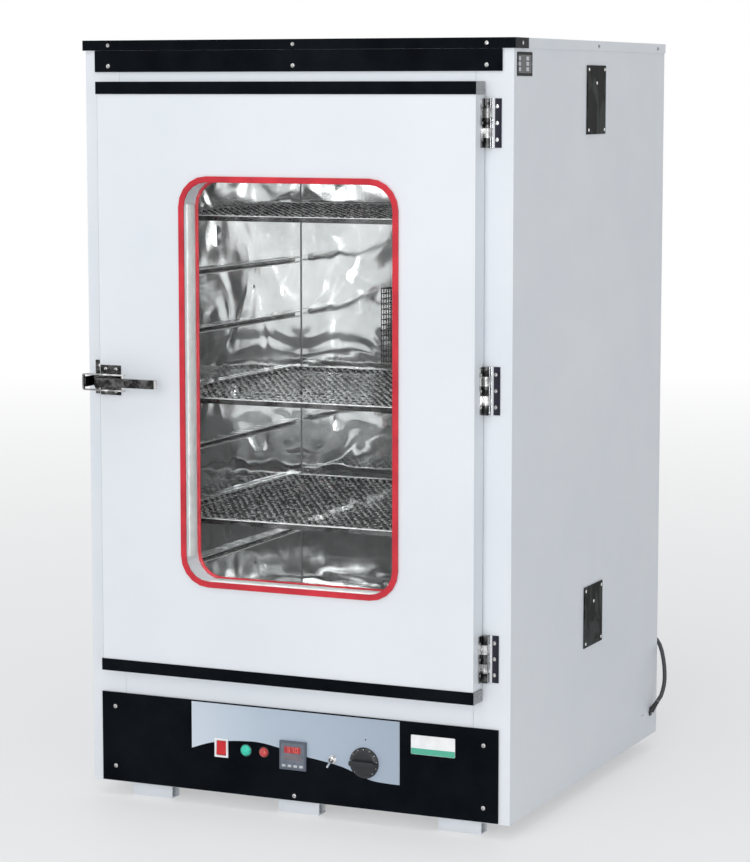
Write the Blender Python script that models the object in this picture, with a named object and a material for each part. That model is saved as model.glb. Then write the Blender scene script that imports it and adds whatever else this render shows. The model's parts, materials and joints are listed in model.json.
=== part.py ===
"""Bacteriological incubator: a floor-standing, double-walled cabinet with a glazed, hinged door.

Every shape is drawn in cabinet coordinates: X runs across the cabinet from its middle, Y runs back
from its front face and Z runs up from the floor. The root empty then sets the whole object so that
its own box is centred on the origin. Each moving piece has its origin on the axis that it turns on.
"""
import math

import bmesh
import bpy
from mathutils import Matrix, Vector

MM = 0.001
DEG = math.radians(1)

# Shared by all pieces
GAP = 0.3 * MM            # clearance between neighbouring pieces
SHEET = 1.2 * MM          # folded steel sheet
ROUND_SIDES = 16
CUT = 10 * MM             # how far a cutter goes past what it cuts

# Chamber
CHAMBER_WIDTH = 605 * MM
CHAMBER_HEIGHT = 910 * MM
CHAMBER_DEPTH = 657 * MM        # from the cabinet's face to the back wall
CHAMBER_LIP = 11.7 * MM

# Cabinet round the chamber
SIDE_WALL = 75 * MM
REAR_WALL = 69.5 * MM
HEADER = 98 * MM                # from the chamber's roof to the top of the lid
CHAMBER_FLOOR = 230 * MM        # above the base
FOOT_HEIGHT = 25 * MM
FOOT_WIDTH = 75 * MM
FOOT_DEPTH = 25 * MM
FOOT_SETBACK = 20 * MM
FOOT_INSETS = (101 * MM, 94 * MM)       # from the left and the right side to a foot's middle
FOOT_MIDDLE = -3.5 * MM
FOOT_SHEET = 2 * MM
REAR_FOLD = 20 * MM
BASE_LIP = 25 * MM
RAIL_RETURN = 15 * MM
RAIL_LAP = 38 * MM              # how far the bottom rail reaches down behind the panel
LID_FLANGE = 16.5 * MM
LOUVRE_WIDTH = 160 * MM
LOUVRE_HEIGHT = 8 * MM
LOUVRE_PITCH = 22 * MM
LOUVRE_ROWS = 5
LOUVRE_SPACING = 300 * MM
LOUVRE_BOTTOM = 60 * MM         # above the base

# Black trim on the front
FASCIA_INSET = 18.5 * MM        # from each side of the cabinet
FASCIA_HEIGHT = 34.5 * MM
FASCIA_THICKNESS = 3 * MM
CAP_THICKNESS = 2 * MM
CAP_WRAP = 53 * MM              # how far the cap strip runs back along each side
PANEL_INSET = 19 * MM
PANEL_HEIGHT = 151.5 * MM
PANEL_BOTTOM = 2 * MM           # above the base
PANEL_THICKNESS = 3 * MM

# Insulation
WOOL_FRONT = 17 * MM
WOOL_BELOW = 68 * MM
WOOL_ABOVE = 74 * MM

# Shelf rails and shelves
RAIL_COUNT = 7
RAIL_PITCH = 100.4 * MM
RAIL_FIRST = 120.4 * MM         # top of the lowest rail above the chamber floor
RAIL_HEIGHT = 11 * MM
RAIL_REACH = 12 * MM
RAIL_SHEET = 1 * MM
RAIL_FRONT = 30 * MM
RAIL_REAR = 27 * MM             # from the rails' ends to the back wall
SHELF_LEVELS = {"lower_shelf": 1, "middle_shelf": 3, "upper_shelf": 6}
SHELF_SIDE_GAP = 2 * MM
SHELF_FRONT = 45 * MM
SHELF_REAR = 12 * MM            # from the shelf's back edge to the guard
SHELF_SHEET = 1 * MM
SHELF_SKIRT = 9 * MM
SHELF_SKIRT_GAP = 1 * MM        # between the skirt's ends and the rails
SHELF_CELLS = 8
SHELF_BAR = 6 * MM

# Air circulation
GUARD_SIDE_ROOM = 16.75 * MM    # from the heater to the guard
GUARD_END_ROOM = 11.75 * MM
GUARD_DEPTH = 45 * MM
GUARD_CELLS = 7
GUARD_BAR = 5 * MM
FAN_RADIUS = 82 * MM
FAN_THICKNESS = 20 * MM
FAN_BLADES = 6
FAN_BLADE_SHEET = 1.5 * MM
FAN_BLADE_WIDTH = 40 * MM
FAN_BLADE_PITCH = 22 * DEG
FAN_HUB_RADIUS = 17 * MM
FAN_WALL_GAP = 14 * MM          # between the wheel and the back wall
SHAFT_RADIUS = 4 * MM
SHAFT_INTO_MOTOR = 12 * MM
MOTOR_RADIUS = 38 * MM
MOTOR_LENGTH = 50 * MM
MOTOR_FLANGE_RADIUS = 46 * MM
MOTOR_FLANGE = 4 * MM
HEATER_RADIUS = 100 * MM
HEATER_TUBE = 3.25 * MM
HEATER_WALL_GAP = 7 * MM
HEATER_OPENING = 18 * DEG       # half of the ring's opening at the bottom
HEATER_TAIL = 14 * MM
WELL_CLEARANCE = 6 * MM         # round the heater's tails, in the wool behind the back wall

# Door
DOOR_SIDE_LAP = 30 * MM         # how far the door reaches past the chamber's opening
DOOR_END_LAP = 31 * MM
DOOR_SHIFT = -2 * MM            # the door's middle, across from the cabinet's middle
DOOR_FRONT = 40 * MM            # how far its face stands ahead of the cabinet's
DOOR_SEAL_GAP = 2.5 * MM
PLUG_REACH = 8 * MM             # how far the inner pan goes into the chamber
PLUG_CLEARANCE = 2.5 * MM
STRIP_HEIGHT = 20 * MM
STRIP_THICKNESS = 1.5 * MM
STRIP_WRAP = 34 * MM
SEAL_WIDTH = 16 * MM
SEAL_INSET = 2 * MM             # from the chamber's edge to the seal
SEAL_CORNER = 2 * MM
WINDOW_WIDTH = 375.5 * MM
WINDOW_HEIGHT = 656 * MM
WINDOW_CORNER = 44 * MM
WINDOW_SHIFT = 10.75 * MM       # the window's middle, across and up from the door's middle
WINDOW_RISE = 1.5 * MM
GLASS_THICKNESS = 4 * MM
BEAD_OUTSIDE = 6 * MM           # the red bead laps the sheet by this much
BEAD_INSIDE = 4 * MM            # and the glass by this much
BEAD_THICKNESS = 3.7 * MM
CORNER_STEPS = 5

# Hinges
HINGE_HEIGHT = 76 * MM
HINGE_INSETS = (68 * MM, 64 * MM)       # from the door's lower and upper edge to a hinge's middle
HINGE_MIDDLE_RISE = 5 * MM      # the third hinge, above the middle between the two
KNUCKLE_RADIUS = 5.5 * MM
KNUCKLES = 5
PIN_RADIUS = 2.1 * MM
HINGE_PIN_CLEARANCE = 0.5 * MM
LEAF_THICKNESS = 1.6 * MM
FRAME_LEAF_REACH = 21.5 * MM
DOOR_LEAF_REACH = 15 * MM

# Draw latch, at the door's middle height
LATCH_BASE_WIDTH = 38 * MM
LATCH_BASE_HEIGHT = 49 * MM
LATCH_BASE_SETBACK = 2 * MM     # from the door's free edge
LATCH_PLATE = 1.5 * MM
LATCH_PIN_PLACE = 14.5 * MM     # from the base plate's edge to the lever's pin
LATCH_STAND = 36 * MM           # from the door's face to the lever's pin
EAR_WIDTH = 24 * MM
EAR_THICKNESS = 2 * MM
EAR_TIP = 5 * MM
LEVER_PIN = 2 * MM
LEVER_HALF_HEIGHT = 7.2 * MM
LEVER_AHEAD = 6 * MM            # from the pin to the lever's outer face
LEVER_THICKNESS = 8 * MM
LEVER_HEAD = 6 * MM             # radius of the lever's head round its pin
LEVER_LENGTH = 110 * MM
LEVER_TIP = 3 * MM
PIN_CLEARANCE = 0.4 * MM
BAIL_PIVOT_REACH = 48 * MM
BAIL_PIVOT_AHEAD = 2 * MM
BAIL_PIN = 1.7 * MM
BAIL_EAR_GAP = 2 * MM
BAIL_WIDTH = 6 * MM
BAIL_THICKNESS = 2.5 * MM
BAIL_CORNER = 3.5 * MM
KEEPER_WIDTH = 26 * MM
KEEPER_HEIGHT = 56 * MM
KEEPER_DOOR_GAP = 4 * MM
KEEPER_PLATE = 2 * MM
KEEPER_ARM_GAP = 3 * MM         # from the bail's inside to the arm's edge
KEEPER_ARM_THICKNESS = 3 * MM
KEEPER_ARM_PAST = 4 * MM        # how far the arm reaches past the lever's pin
KEEPER_ARM_CHAMFER = 3 * MM
BAIL_CLEARANCE = 0.8 * MM       # lets the bail slide off the arm as the door swings

# Controls, placed across from the cabinet's middle and above the base
CONTROL_HEIGHT = 78 * MM
ROCKER_X = -132.5 * MM
ROCKER_FRAME_WIDTH = 25 * MM
ROCKER_FRAME_HEIGHT = 32 * MM
ROCKER_WIDTH = 17 * MM
ROCKER_HEIGHT = 23 * MM
ROCKER_THICKNESS = 7 * MM
ROCKER_TILT = 8 * DEG
ROCKER_FRAME_PROUD = 3 * MM
ROCKER_BODY_DEPTH = 24 * MM
ROCKER_RIM = 2 * MM
ROCKER_DISH = 1.5 * MM
GREEN_LAMP = (-87.2 * MM, 10 * MM)      # place and lens radius
RED_LAMP = (-54.4 * MM, 8.5 * MM)
LAMP_PROUD = 7 * MM
LAMP_BODY_RADIUS = 6 * MM
LAMP_BODY_DEPTH = 28 * MM
METER_X = -0.4 * MM
METER_SIZE = 48 * MM
METER_PROUD = 5 * MM
METER_BODY = 44.5 * MM
METER_BODY_DEPTH = 75 * MM
KEY_PITCH = 10.5 * MM
KEY_COUNT = 4
KEY_WIDTH = 6.5 * MM
KEY_HEIGHT = 4 * MM
KEY_DROP = 17 * MM              # below the meter's middle
KEY_PROUD = 1 * MM
KEY_POCKET = 3.5 * MM
KEY_TRAVEL = 0.8 * MM
TOGGLE_X = 70.2 * MM
TOGGLE_NUT_RADIUS = 7 * MM
TOGGLE_NUT = 3 * MM
TOGGLE_BUSH_RADIUS = 5 * MM
TOGGLE_BUSH = 5.5 * MM
TOGGLE_BALL_ROOM = 0.5 * MM
TOGGLE_BALL = 3.2 * MM
TOGGLE_SINK = 2.6 * MM          # from the bush's mouth to the lever's pivot
TOGGLE_LEVER = 19 * MM
TOGGLE_TILT = 26 * DEG
TOGGLE_BODY = 13 * MM
TOGGLE_BODY_DEPTH = 20 * MM
KNOB_X = 126.4 * MM
KNOB_RADIUS = 26 * MM
KNOB_THICKNESS = 7 * MM
KNOB_GRIP_HEIGHT = 8 * MM
KNOB_GRIP_WIDTH = 9 * MM
KNOB_SHAFT = 3 * MM
KNOB_SHAFT_DEPTH = 12 * MM

# Plates on the right side
COVER_WIDTH = 90 * MM
COVER_THICKNESS = 1.5 * MM
UPPER_COVER_FRONT = 325 * MM
UPPER_COVER_DROP = 40 * MM      # from the cabinet's top
UPPER_COVER_HEIGHT = 113 * MM
LOWER_COVER_FRONT = 333 * MM
LOWER_COVER_DROP = 6 * MM       # from the chamber's floor
LOWER_COVER_HEIGHT = 104 * MM

# Cap strip's screw heads
SCREW_RADIUS = 3.6 * MM
SCREW_HEIGHT = 1.7 * MM
SCREW_SIDES = 10
CAP_SCREW_INSET = 44 * MM
CAP_SCREW_MIDDLE = 2 * MM
CAP_SIDE_SCREW = 26.5 * MM

# Mains lead
LEAD_DIAMETER = 7.5 * MM
GLAND_INSET = 36.5 * MM         # from the cabinet's back
GLAND_HEIGHT = 44 * MM          # above the base
GLAND_FLANGE_RADIUS = 9 * MM
GLAND_FLANGE = 3 * MM
GLAND_LENGTH = 22 * MM
GLAND_TAPER = (1.25, 1.35, 1.1)         # the sleeve's radii in lead radii, from the flange out
GLAND_AIM = Vector((0.44, 0.36, 0.82)).normalized()
COIL_X = 150 * MM
COIL_BEHIND = 84 * MM           # from the cabinet's back to the coil's middle
COIL_RADIUS = 5.5 * LEAD_DIAMETER
COIL_COLUMNS = 2
COIL_LAYERS = 3
PLUG_LENGTH = 36 * MM
PLUG_WIDTH = 44 * MM
PLUG_SLEEVE = 24 * MM
PLUG_SLEEVE_RADIUS = 5.5 * MM
PLUG_CORNER = 8 * MM
PLUG_PINS = (               # across, up, radius and length of the earth pin and the other two
    (0, 11 * MM, 3.5 * MM, 21 * MM),
    (-9.5 * MM, -9 * MM, 2.5 * MM, 17 * MM),
    (9.5 * MM, -9 * MM, 2.5 * MM, 17 * MM),
)

# Worked out from the sizes above
CHAMBER_SIDE = CHAMBER_WIDTH / 2
BASE = FOOT_HEIGHT
CHAMBER_LOW = BASE + CHAMBER_FLOOR
CHAMBER_HIGH = CHAMBER_LOW + CHAMBER_HEIGHT
CHAMBER_MIDDLE = (CHAMBER_LOW + CHAMBER_HIGH) / 2
HALF_WIDTH = CHAMBER_SIDE + SIDE_WALL
CABINET_DEPTH = CHAMBER_DEPTH + REAR_WALL
TOP = CHAMBER_HIGH + HEADER
LID_EDGE = GAP + SHEET
SEAM = CHAMBER_SIDE + CHAMBER_LIP           # where the rails meet the side panels' stiles
FOOT_PLACES = (FOOT_INSETS[0] - HALF_WIDTH, FOOT_MIDDLE, HALF_WIDTH - FOOT_INSETS[1])
CAP_SCREWS = (CAP_SCREW_INSET - HALF_WIDTH, CAP_SCREW_MIDDLE, HALF_WIDTH - CAP_SCREW_INSET)
RAIL_LENGTH = CHAMBER_DEPTH - RAIL_FRONT - RAIL_REAR
SHELF_DEPTH = CHAMBER_DEPTH - GUARD_DEPTH - SHELF_REAR - SHELF_FRONT
GUARD_WIDTH = 2 * (HEATER_RADIUS + HEATER_TUBE + GUARD_SIDE_ROOM)
GUARD_HEIGHT = 2 * (HEATER_RADIUS + HEATER_TUBE + GUARD_END_ROOM)
FAN_Z = CHAMBER_MIDDLE
DOOR_LEFT = DOOR_SHIFT - CHAMBER_SIDE - DOOR_SIDE_LAP
DOOR_RIGHT = DOOR_SHIFT + CHAMBER_SIDE + DOOR_SIDE_LAP
DOOR_LOW = CHAMBER_LOW - DOOR_END_LAP
DOOR_HIGH = CHAMBER_HIGH + DOOR_END_LAP
DOOR_MIDDLE = (DOOR_LOW + DOOR_HIGH) / 2
HINGE_LOW = DOOR_LOW + HINGE_INSETS[0]
HINGE_HIGH = DOOR_HIGH - HINGE_INSETS[1]
HINGE_MIDDLE = (HINGE_LOW + HINGE_HIGH) / 2 + HINGE_MIDDLE_RISE
CONTROL_Z = BASE + CONTROL_HEIGHT
PANEL_FACE = -(GAP + PANEL_THICKNESS)
PANEL_BACK = -GAP
LATCH_Z = DOOR_MIDDLE
LATCH_X = DOOR_LEFT + LATCH_BASE_SETBACK + LATCH_PIN_PLACE
LATCH_Y = -(DOOR_FRONT + LATCH_STAND)
LEVER_FACE = LATCH_Y - LEVER_AHEAD
EAR_INSIDE = LEVER_HALF_HEIGHT + GAP
BAIL_HALF_HEIGHT = EAR_INSIDE + EAR_THICKNESS + BAIL_EAR_GAP
KEEPER_ARM_HALF = BAIL_HALF_HEIGHT - KEEPER_ARM_GAP
KEEPER_ARM_REACH = DOOR_FRONT + LATCH_STAND + KEEPER_ARM_PAST
BAIL_X = LATCH_X + BAIL_PIVOT_REACH
BAIL_Y = LATCH_Y - BAIL_PIVOT_AHEAD
KEEPER_LEFT = DOOR_LEFT - KEEPER_DOOR_GAP - KEEPER_WIDTH
ARM_LEFT = KEEPER_LEFT + KEEPER_WIDTH - KEEPER_ARM_THICKNESS
BAIL_END = ARM_LEFT - BAIL_CLEARANCE
HINGE_X = DOOR_RIGHT + GAP + KNUCKLE_RADIUS
HINGE_Y = -(GAP + KNUCKLE_RADIUS)
GLAND_Y = CABINET_DEPTH - GLAND_INSET
REAR = CABINET_DEPTH + LID_EDGE
CABINET_Y = -(LEVER_FACE + REAR) / 2        # sets the object's box in the middle of the origin

PAINT = ("white_paint", (0.86, 0.87, 0.89), 0.35, 0.0)
STAINLESS = ("mirror_stainless", (0.80, 0.81, 0.82), 0.12, 1.0)
CHROME = ("chrome", (0.72, 0.72, 0.72), 0.15, 1.0)
ZINC = ("zinc_sheet", (0.62, 0.63, 0.65), 0.4, 1.0)
BLACK = ("black_acrylic", (0.01, 0.01, 0.015), 0.12, 0.0)
BLACK_PLASTIC = ("black_plastic", (0.015, 0.015, 0.017), 0.4, 0.0)
RED_RUBBER = ("red_rubber", (0.62, 0.03, 0.05), 0.45, 0.0)
GREY_RUBBER = ("grey_rubber", (0.30, 0.30, 0.31), 0.7, 0.0)
GLASS = ("window_glass", (0.85, 0.90, 0.90), 0.03, 0.0)
WOOL = ("glass_wool", (0.75, 0.66, 0.35), 0.95, 0.0)
GREY_PLASTIC = ("grey_plastic", (0.30, 0.32, 0.35), 0.45, 0.0)
PALE_PLASTIC = ("pale_plastic", (0.80, 0.80, 0.80), 0.4, 0.0)
WHITE_PLASTIC = ("white_plastic", (0.88, 0.88, 0.86), 0.4, 0.0)
RED_PLASTIC = ("red_plastic", (0.75, 0.02, 0.03), 0.25, 0.0)
GREEN_LENS = ("green_lens", (0.02, 0.55, 0.33), 0.2, 0.0)
CABLE = ("cable_sheath", (0.03, 0.03, 0.035), 0.5, 0.0)

PIVOTS = {}


def clear_scene():
    for old in list(bpy.data.objects):
        bpy.data.objects.remove(old, do_unlink=True)


def material(finish):
    name, colour, roughness, metallic = finish
    found = bpy.data.materials.get(name)
    if found:
        return found
    made = bpy.data.materials.new(name)
    made.use_nodes = True
    shader = made.node_tree.nodes["Principled BSDF"]
    shader.inputs["Base Color"].default_value = (*colour, 1.0)
    shader.inputs["Roughness"].default_value = roughness
    shader.inputs["Metallic"].default_value = metallic
    made.diffuse_color = (*colour, 1.0)
    return made


def body(name, pivot, parent=None):
    """An empty that carries one rigid body, on the axis that the body turns on."""
    empty = bpy.data.objects.new(name, None)
    bpy.context.collection.objects.link(empty)
    empty.empty_display_size = 0.05
    PIVOTS[name] = Vector(pivot)
    if parent:
        empty.parent = parent
        empty.location = PIVOTS[name] - PIVOTS[parent.name]
    return empty


def piece(name, bm, finish, parent, pivot=None, smooth=False):
    """Makes a named object from a mesh drawn in cabinet coordinates."""
    centre = Vector(pivot) if pivot else PIVOTS[parent.name]
    bmesh.ops.recalc_face_normals(bm, faces=bm.faces)
    bmesh.ops.translate(bm, vec=-centre, verts=bm.verts)
    mesh = bpy.data.meshes.new(name)
    bm.to_mesh(mesh)
    bm.free()
    if smooth:
        mesh.shade_smooth()
        mesh.set_sharp_from_angle(angle=35 * DEG)
    mesh.materials.append(material(finish))
    made = bpy.data.objects.new(name, mesh)
    bpy.context.collection.objects.link(made)
    made.parent = parent
    made.location = centre - PIVOTS[parent.name]
    return made


def guide(name, bm, parent, pivot=None):
    """A shape that only cuts or joins another one, and isn't part of the object."""
    made = piece(name, bm, PAINT, parent, pivot)
    made.hide_render = True
    made.display_type = "WIRE"
    return made


def combine(target, tool, operation, own_shells=False):
    step = target.modifiers.new(operation.lower(), "BOOLEAN")
    step.object = tool
    step.operation = operation
    step.solver = "EXACT"
    step.use_self = own_shells


def soften(target, width, segments=1):
    step = target.modifiers.new("edges", "BEVEL")
    step.width = width
    step.segments = segments
    step.limit_method = "ANGLE"
    step.angle_limit = 40 * DEG


def add_box(bm, low, high):
    low = Vector(low)
    high = Vector(high)
    size = Matrix.Diagonal((*(high - low), 1))
    bmesh.ops.create_cube(bm, size=1, matrix=Matrix.Translation((low + high) / 2) @ size)


def lift(axis, point, level):
    """Puts a flat point into space, at a level along the axis that its outline is extruded on."""
    a, b = point
    return {"X": (level, a, b), "Y": (a, level, b), "Z": (a, b, level)}[axis]


def add_prism(bm, axis, outlines, low, high):
    """Extrudes an outline along an axis. Outlines after the first are holes in it."""
    edges = []
    for outline in outlines:
        loop = [bm.verts.new(lift(axis, point, low)) for point in outline]
        edges += [bm.edges.new((loop[i - 1], loop[i])) for i in range(len(loop))]
    filled = bmesh.ops.triangle_fill(bm, edges=edges, use_beauty=True, use_dissolve=False)
    faces = [part for part in filled["geom"] if isinstance(part, bmesh.types.BMFace)]
    grown = bmesh.ops.extrude_face_region(bm, geom=faces, use_keep_orig=True)
    tops = [part for part in grown["geom"] if isinstance(part, bmesh.types.BMVert)]
    step = Vector(lift(axis, (0, 0), high - low))
    bmesh.ops.translate(bm, vec=step, verts=tops)


def add_turned(bm, base, direction, profile, sides=ROUND_SIDES):
    """Turns a profile of (height, radius) steps about a line. Its ends close on the line."""
    turn = Vector(direction).to_track_quat("Z", "Y").to_matrix().to_4x4()
    place = Matrix.Translation(base) @ turn
    rings = []
    for height, radius in profile:
        if radius == 0:
            rings.append([bm.verts.new(place @ Vector((0, 0, height)))])
            continue
        ring = []
        for side in range(sides):
            angle = math.tau * (side + 0.5) / sides
            point = Vector((radius * math.cos(angle), radius * math.sin(angle), height))
            ring.append(bm.verts.new(place @ point))
        rings.append(ring)
    for one, two in zip(rings, rings[1:]):
        for side in range(sides):
            after = (side + 1) % sides
            if len(one) == 1:
                bm.faces.new((one[0], two[side], two[after]))
            elif len(two) == 1:
                bm.faces.new((one[side], one[after], two[0]))
            else:
                bm.faces.new((one[side], one[after], two[after], two[side]))


def add_rod(bm, start, end, radius, sides=ROUND_SIDES):
    line = Vector(end) - Vector(start)
    profile = ((0, 0), (0, radius), (line.length, radius), (line.length, 0))
    add_turned(bm, start, line, profile, sides)


def add_ring(bm, base, direction, section, sides=ROUND_SIDES):
    """Turns a closed section of (height, radius) points into a ring."""
    turn = Vector(direction).to_track_quat("Z", "Y").to_matrix().to_4x4()
    place = Matrix.Translation(base) @ turn
    loops = []
    for side in range(sides):
        angle = math.tau * (side + 0.5) / sides
        loop = []
        for height, radius in section:
            point = Vector((radius * math.cos(angle), radius * math.sin(angle), height))
            loop.append(bm.verts.new(place @ point))
        loops.append(loop)
    steps = len(section)
    for side in range(sides):
        one = loops[side]
        two = loops[(side + 1) % sides]
        for step in range(steps):
            after = (step + 1) % steps
            bm.faces.new((one[step], one[after], two[after], two[step]))


def add_tray(bm, outer, inner, axis, open_high):
    """A box with a floor and four walls. Outer and inner are (low, high) corners, and the open side
    is the high or the low one on the axis."""
    number = "XYZ".index(axis)
    side = 1 if open_high else 0
    inner = [list(corner) for corner in inner]
    inner[side][number] = outer[side][number]
    corners = [(0, 0, 0), (1, 0, 0), (1, 1, 0), (0, 1, 0), (0, 0, 1), (1, 0, 1), (1, 1, 1), (0, 1, 1)]
    quads = [(0, 1, 2, 3), (4, 5, 6, 7), (0, 1, 5, 4), (1, 2, 6, 5), (2, 3, 7, 6), (3, 0, 4, 7)]

    def shell(box):
        return [bm.verts.new([box[corner[n]][n] for n in range(3)]) for corner in corners]

    outside = shell(outer)
    inside = shell(inner)
    for quad in quads:
        if all(corners[i][number] == side for i in quad):
            for i in range(4):
                a = quad[i - 1]
                b = quad[i]
                bm.faces.new((outside[a], outside[b], inside[b], inside[a]))
            continue
        bm.faces.new([outside[i] for i in quad])
        bm.faces.new([inside[i] for i in quad])


def rectangle(low_a, high_a, low_b, high_b):
    return [(low_a, low_b), (high_a, low_b), (high_a, high_b), (low_a, high_b)]


def rounded(centre_a, centre_b, width, height, radius, steps=CORNER_STEPS):
    """A rectangle's outline with round corners."""
    points = []
    for quarter, (right, up) in enumerate(((1, 1), (-1, 1), (-1, -1), (1, -1))):
        a = centre_a + right * (width / 2 - radius)
        b = centre_b + up * (height / 2 - radius)
        for step in range(steps + 1):
            angle = (quarter + step / steps) * math.pi / 2
            points.append((a + radius * math.cos(angle), b + radius * math.sin(angle)))
    return points


def window(grow=0.0):
    """The window's outline, grown or shrunk all round."""
    across = DOOR_SHIFT + WINDOW_SHIFT
    middle = DOOR_MIDDLE + WINDOW_RISE
    width = WINDOW_WIDTH + 2 * grow
    height = WINDOW_HEIGHT + 2 * grow
    return rounded(across, middle, width, height, WINDOW_CORNER + grow)


def circle(a, b, radius, sides=ROUND_SIDES):
    turns = [math.tau * (side + 0.5) / sides for side in range(sides)]
    return [(a + radius * math.cos(turn), b + radius * math.sin(turn)) for turn in turns]


def arc(a, b, radius, degrees):
    """Points on a circle at the given angles."""
    turns = [turn * DEG for turn in degrees]
    return [(a + radius * math.cos(turn), b + radius * math.sin(turn)) for turn in turns]


def wire(name, points, radius, finish, parent, pivot=None, resolution=2):
    """A round bar or cable along points given in cabinet coordinates."""
    centre = Vector(pivot) if pivot else PIVOTS[parent.name]
    curve = bpy.data.curves.new(name, "CURVE")
    curve.dimensions = "3D"
    curve.bevel_depth = radius
    curve.bevel_resolution = resolution
    curve.use_fill_caps = True
    line = curve.splines.new("POLY")
    line.points.add(len(points) - 1)
    for spot, point in zip(line.points, points):
        spot.co = (*(Vector(point) - centre), 1)
    curve.materials.append(material(finish))
    made = bpy.data.objects.new(name, curve)
    bpy.context.collection.objects.link(made)
    made.parent = parent
    made.location = centre - PIVOTS[parent.name]
    return made


def side_panel(name, side, cabinet):
    """Folded sheet: the side itself, the stile across the front and a narrow fold at the back."""
    face = side * HALF_WIDTH
    inside = side * (HALF_WIDTH - SHEET)
    stile = side * (SEAM + GAP)
    fold = side * (HALF_WIDTH - REAR_FOLD)
    back = CABINET_DEPTH
    profile = [(stile, 0), (face, 0), (face, back), (fold, back), (fold, back - SHEET)]
    profile += [(inside, back - SHEET), (inside, SHEET), (stile, SHEET)]
    bm = bmesh.new()
    add_prism(bm, "Z", [profile], BASE, TOP - SHEET - GAP)
    made = piece(name, bm, PAINT, cabinet)
    if side > 0:
        cut = bmesh.new()
        spot = Vector((face, GLAND_Y, BASE + GLAND_HEIGHT))
        reach = Vector((5 * SHEET, 0, 0))
        add_rod(cut, spot - reach, spot + reach, GLAND_FLANGE_RADIUS * 0.55)
        combine(made, guide("lead_hole", cut, cabinet), "DIFFERENCE")


def back_panel(cabinet):
    wide = HALF_WIDTH - SHEET - GAP
    rear = CABINET_DEPTH - SHEET - GAP
    low = BASE
    slots = []
    for column in (-1, 1):
        for row in range(LOUVRE_ROWS):
            middle = BASE + LOUVRE_BOTTOM + row * LOUVRE_PITCH
            spot = column * LOUVRE_SPACING / 2
            half = LOUVRE_WIDTH / 2
            slots.append(rectangle(spot - half, spot + half, middle, middle + LOUVRE_HEIGHT))
    bm = bmesh.new()
    outline = rectangle(-wide, wide, low, TOP - SHEET - GAP)
    add_prism(bm, "Y", [outline, *slots], rear - SHEET, rear)
    piece("back_panel", bm, PAINT, cabinet)


def top_cover(cabinet):
    wide = HALF_WIDTH + LID_EDGE
    outer = ((-wide, -LID_EDGE, TOP - LID_FLANGE), (wide, REAR, TOP))
    wide -= SHEET
    inner = ((-wide, -GAP, TOP - LID_FLANGE), (wide, REAR - SHEET, TOP - SHEET))
    bm = bmesh.new()
    add_tray(bm, outer, inner, "Z", open_high=False)
    piece("top_cover", bm, PAINT, cabinet)


def base_pan(cabinet):
    """A pan with six feet under it, each a strap folded down, along and up again."""
    wide = HALF_WIDTH - SHEET - GAP
    front = SHEET + GAP
    rear = CABINET_DEPTH - 2 * (SHEET + GAP)
    outer = ((-wide, front, BASE), (wide, rear, BASE + BASE_LIP))
    inner = ((-wide + SHEET, front + SHEET, BASE + SHEET), (wide - SHEET, rear - SHEET, BASE + BASE_LIP))
    bm = bmesh.new()
    add_tray(bm, outer, inner, "Z", open_high=True)
    made = piece("base_pan", bm, PAINT, cabinet)
    feet = bmesh.new()
    high = BASE + SHEET / 2
    thick = FOOT_SHEET
    for near in (FOOT_SETBACK, CABINET_DEPTH - FOOT_SETBACK - FOOT_DEPTH):
        far = near + FOOT_DEPTH
        profile = [(near, 0), (far, 0), (far, high), (far - thick, high), (far - thick, thick)]
        profile += [(near + thick, thick), (near + thick, high), (near, high)]
        for middle in FOOT_PLACES:
            add_prism(feet, "X", [profile], middle - FOOT_WIDTH / 2, middle + FOOT_WIDTH / 2)
    combine(made, guide("feet", feet, cabinet), "UNION")


def front_rail(name, low, high, cabinet):
    """A channel between the stiles, with its flanges to the back."""
    back = RAIL_RETURN
    profile = [(0, low), (0, high), (back, high), (back, high - SHEET), (SHEET, high - SHEET)]
    profile += [(SHEET, low + SHEET), (back, low + SHEET), (back, low)]
    bm = bmesh.new()
    add_prism(bm, "X", [profile], -SEAM, SEAM)
    piece(name, bm, PAINT, cabinet)


def black_trim(cabinet):
    bm = bmesh.new()
    half = HALF_WIDTH - FASCIA_INSET
    high = TOP - LID_FLANGE - GAP
    add_box(bm, (-half, -GAP - FASCIA_THICKNESS, high - FASCIA_HEIGHT), (half, -GAP, high))
    soften(piece("top_fascia", bm, BLACK, cabinet), 0.5 * MM)

    inside = HALF_WIDTH + LID_EDGE + GAP
    outside = inside + CAP_THICKNESS
    back = -LID_EDGE - GAP
    front = back - CAP_THICKNESS
    profile = [(-outside, front), (outside, front), (outside, CAP_WRAP), (inside, CAP_WRAP)]
    profile += [(inside, back), (-inside, back), (-inside, CAP_WRAP), (-outside, CAP_WRAP)]
    bm = bmesh.new()
    add_prism(bm, "Z", [profile], TOP - LID_FLANGE, TOP)
    made = piece("cap_strip", bm, BLACK, cabinet)
    heads = bmesh.new()
    middle = TOP - LID_FLANGE / 2
    for x in CAP_SCREWS:
        add_screw(heads, (x, front, middle), (0, -1, 0))
    for side in (-1, 1):
        add_screw(heads, (side * outside, CAP_SIDE_SCREW, middle), (side, 0, 0))
    combine(made, guide("cap_screws", heads, cabinet), "UNION")


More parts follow.
